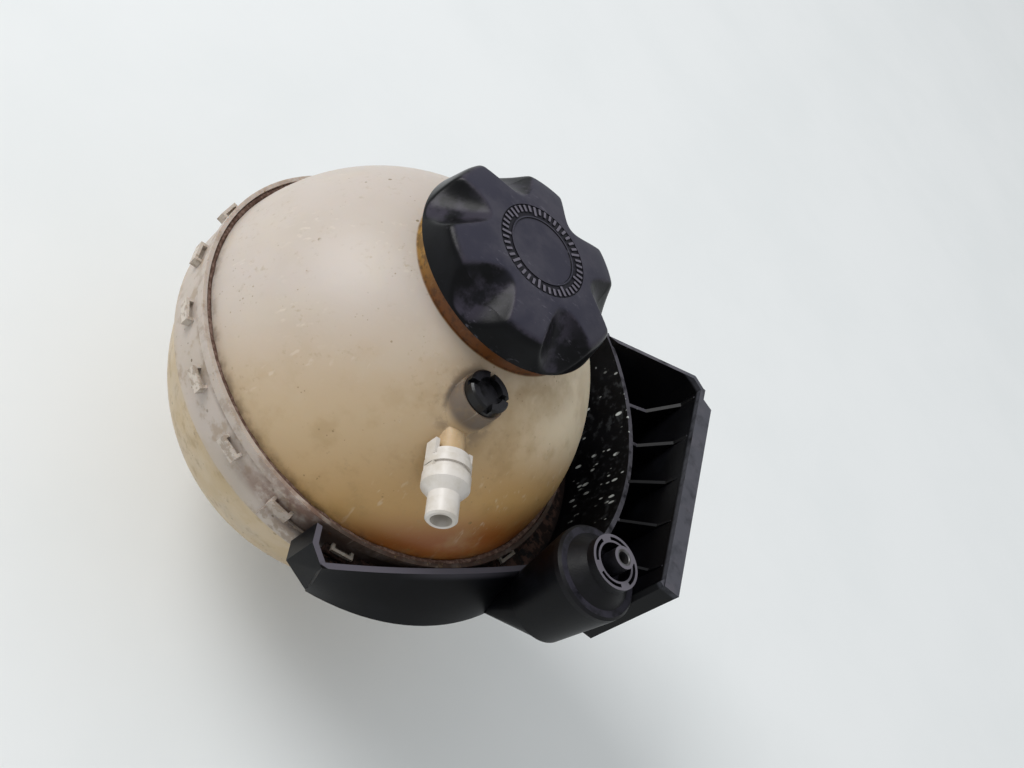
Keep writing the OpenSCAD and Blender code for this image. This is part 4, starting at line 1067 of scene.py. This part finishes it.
@dataclass
class Studio:
    """Pale floor, soft lamps and the camera that took the photograph."""

    floor_colour: str = "ECEEEE"
    floor_shade: str = "E6E9E9"
    floor_size: float = 14.0
    sky_colour: str = "F5F8FA"
    key_energy: float = 74.0
    key_size: float = 1.7
    fill_strength: float = 0.66
    key_target: tuple[float, float, float] = (20, -10, -20)
    key_offset: tuple[float, float, float] = (-2.6, 0.55, 2.0)
    focal_pixels: float = 1250.0
    eye: tuple[float, float, float] = (-110.148, -311.994, 300.5)
    right: tuple[float, float, float] = (0.732238, 0.230519, 0.64085)
    down: tuple[float, float, float] = (0.599237, -0.665231, -0.445402)
    ahead: tuple[float, float, float] = (0.323639, 0.710161, -0.625243)

    def build(self) -> None:
        """Makes floor, lamps and camera."""
        self.lay_floor()
        self.hang_lamps()
        self.set_camera()

    def lay_floor(self) -> None:
        """Adds a pale floor under the part."""
        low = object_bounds()[0]
        bpy.ops.mesh.primitive_plane_add(
            size=self.floor_size, location=(0, 0, low.z - MILLI / 2)
        )
        plane = bpy.context.object
        plane.name = "floor"
        coat = Coat("painted_board_pale", self.floor_colour, 0.6)
        coat.lay(coat.clouds(160, 0.35, 0.7), self.floor_shade, 0.6)
        plane.data.materials.append(coat.done())
        plane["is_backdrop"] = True

    def hang_lamps(self) -> None:
        """Adds a large soft key lamp and the plain world."""
        world = bpy.data.worlds.new("studio")
        bpy.context.scene.world = world
        world.use_nodes = True
        sky = world.node_tree.nodes["Background"]
        sky.inputs["Color"].default_value = linear(self.sky_colour)
        sky.inputs["Strength"].default_value = self.fill_strength
        lamp = bpy.data.lights.new("key", "AREA")
        lamp.energy = self.key_energy
        lamp.size = self.key_size
        holder = bpy.data.objects.new("key", lamp)
        bpy.context.collection.objects.link(holder)
        target = place(*self.key_target)
        holder.location = target + Vector(self.key_offset)
        holder.rotation_euler = (target - holder.location).to_track_quat("-Z", "Y").to_euler()

    def set_camera(self) -> None:
        """Adds the camera at the photograph's place, rolled as it was."""
        data = bpy.data.cameras.new("photo_camera")
        data.sensor_width = SENSOR
        data.lens = self.focal_pixels / PHOTO_WIDTH * SENSOR
        data.clip_start = 0.01
        data.clip_end = 50
        holder = bpy.data.objects.new("photo_camera", data)
        bpy.context.collection.objects.link(holder)
        rows = (Vector(self.right), -Vector(self.down), -Vector(self.ahead))
        turn = Matrix(rows).transposed().to_4x4()
        holder.matrix_world = Matrix.Translation(place(*self.eye)) @ turn
        bpy.context.scene.camera = holder


def main() -> None:
    """Builds everything in order."""
    logging.basicConfig(level=logging.INFO, format="%(name)s: %(message)s")
    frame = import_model()
    bpy.ops.object.select_all(action="DESELECT")
    bpy.context.scene.view_settings.view_transform = "Standard"
    worn = Dressing(frame["nodes"]).dress()
    ScrewCap().build(worn["cap_shell"])
    SmoothMoulding("bracket", "tank", "bracket_black").build(frame, worn["bracket"])
    GritBead("seam_grit", 75.25, -0.75, 1.15).build(SEAM_GRIT.made())
    GritBead("ledge_grit", 78.6, -9.0, 2.0, (-86, 40)).build(LEDGE_GRIT.made())
    Studio().build()


if __name__ == "__main__":
    main()
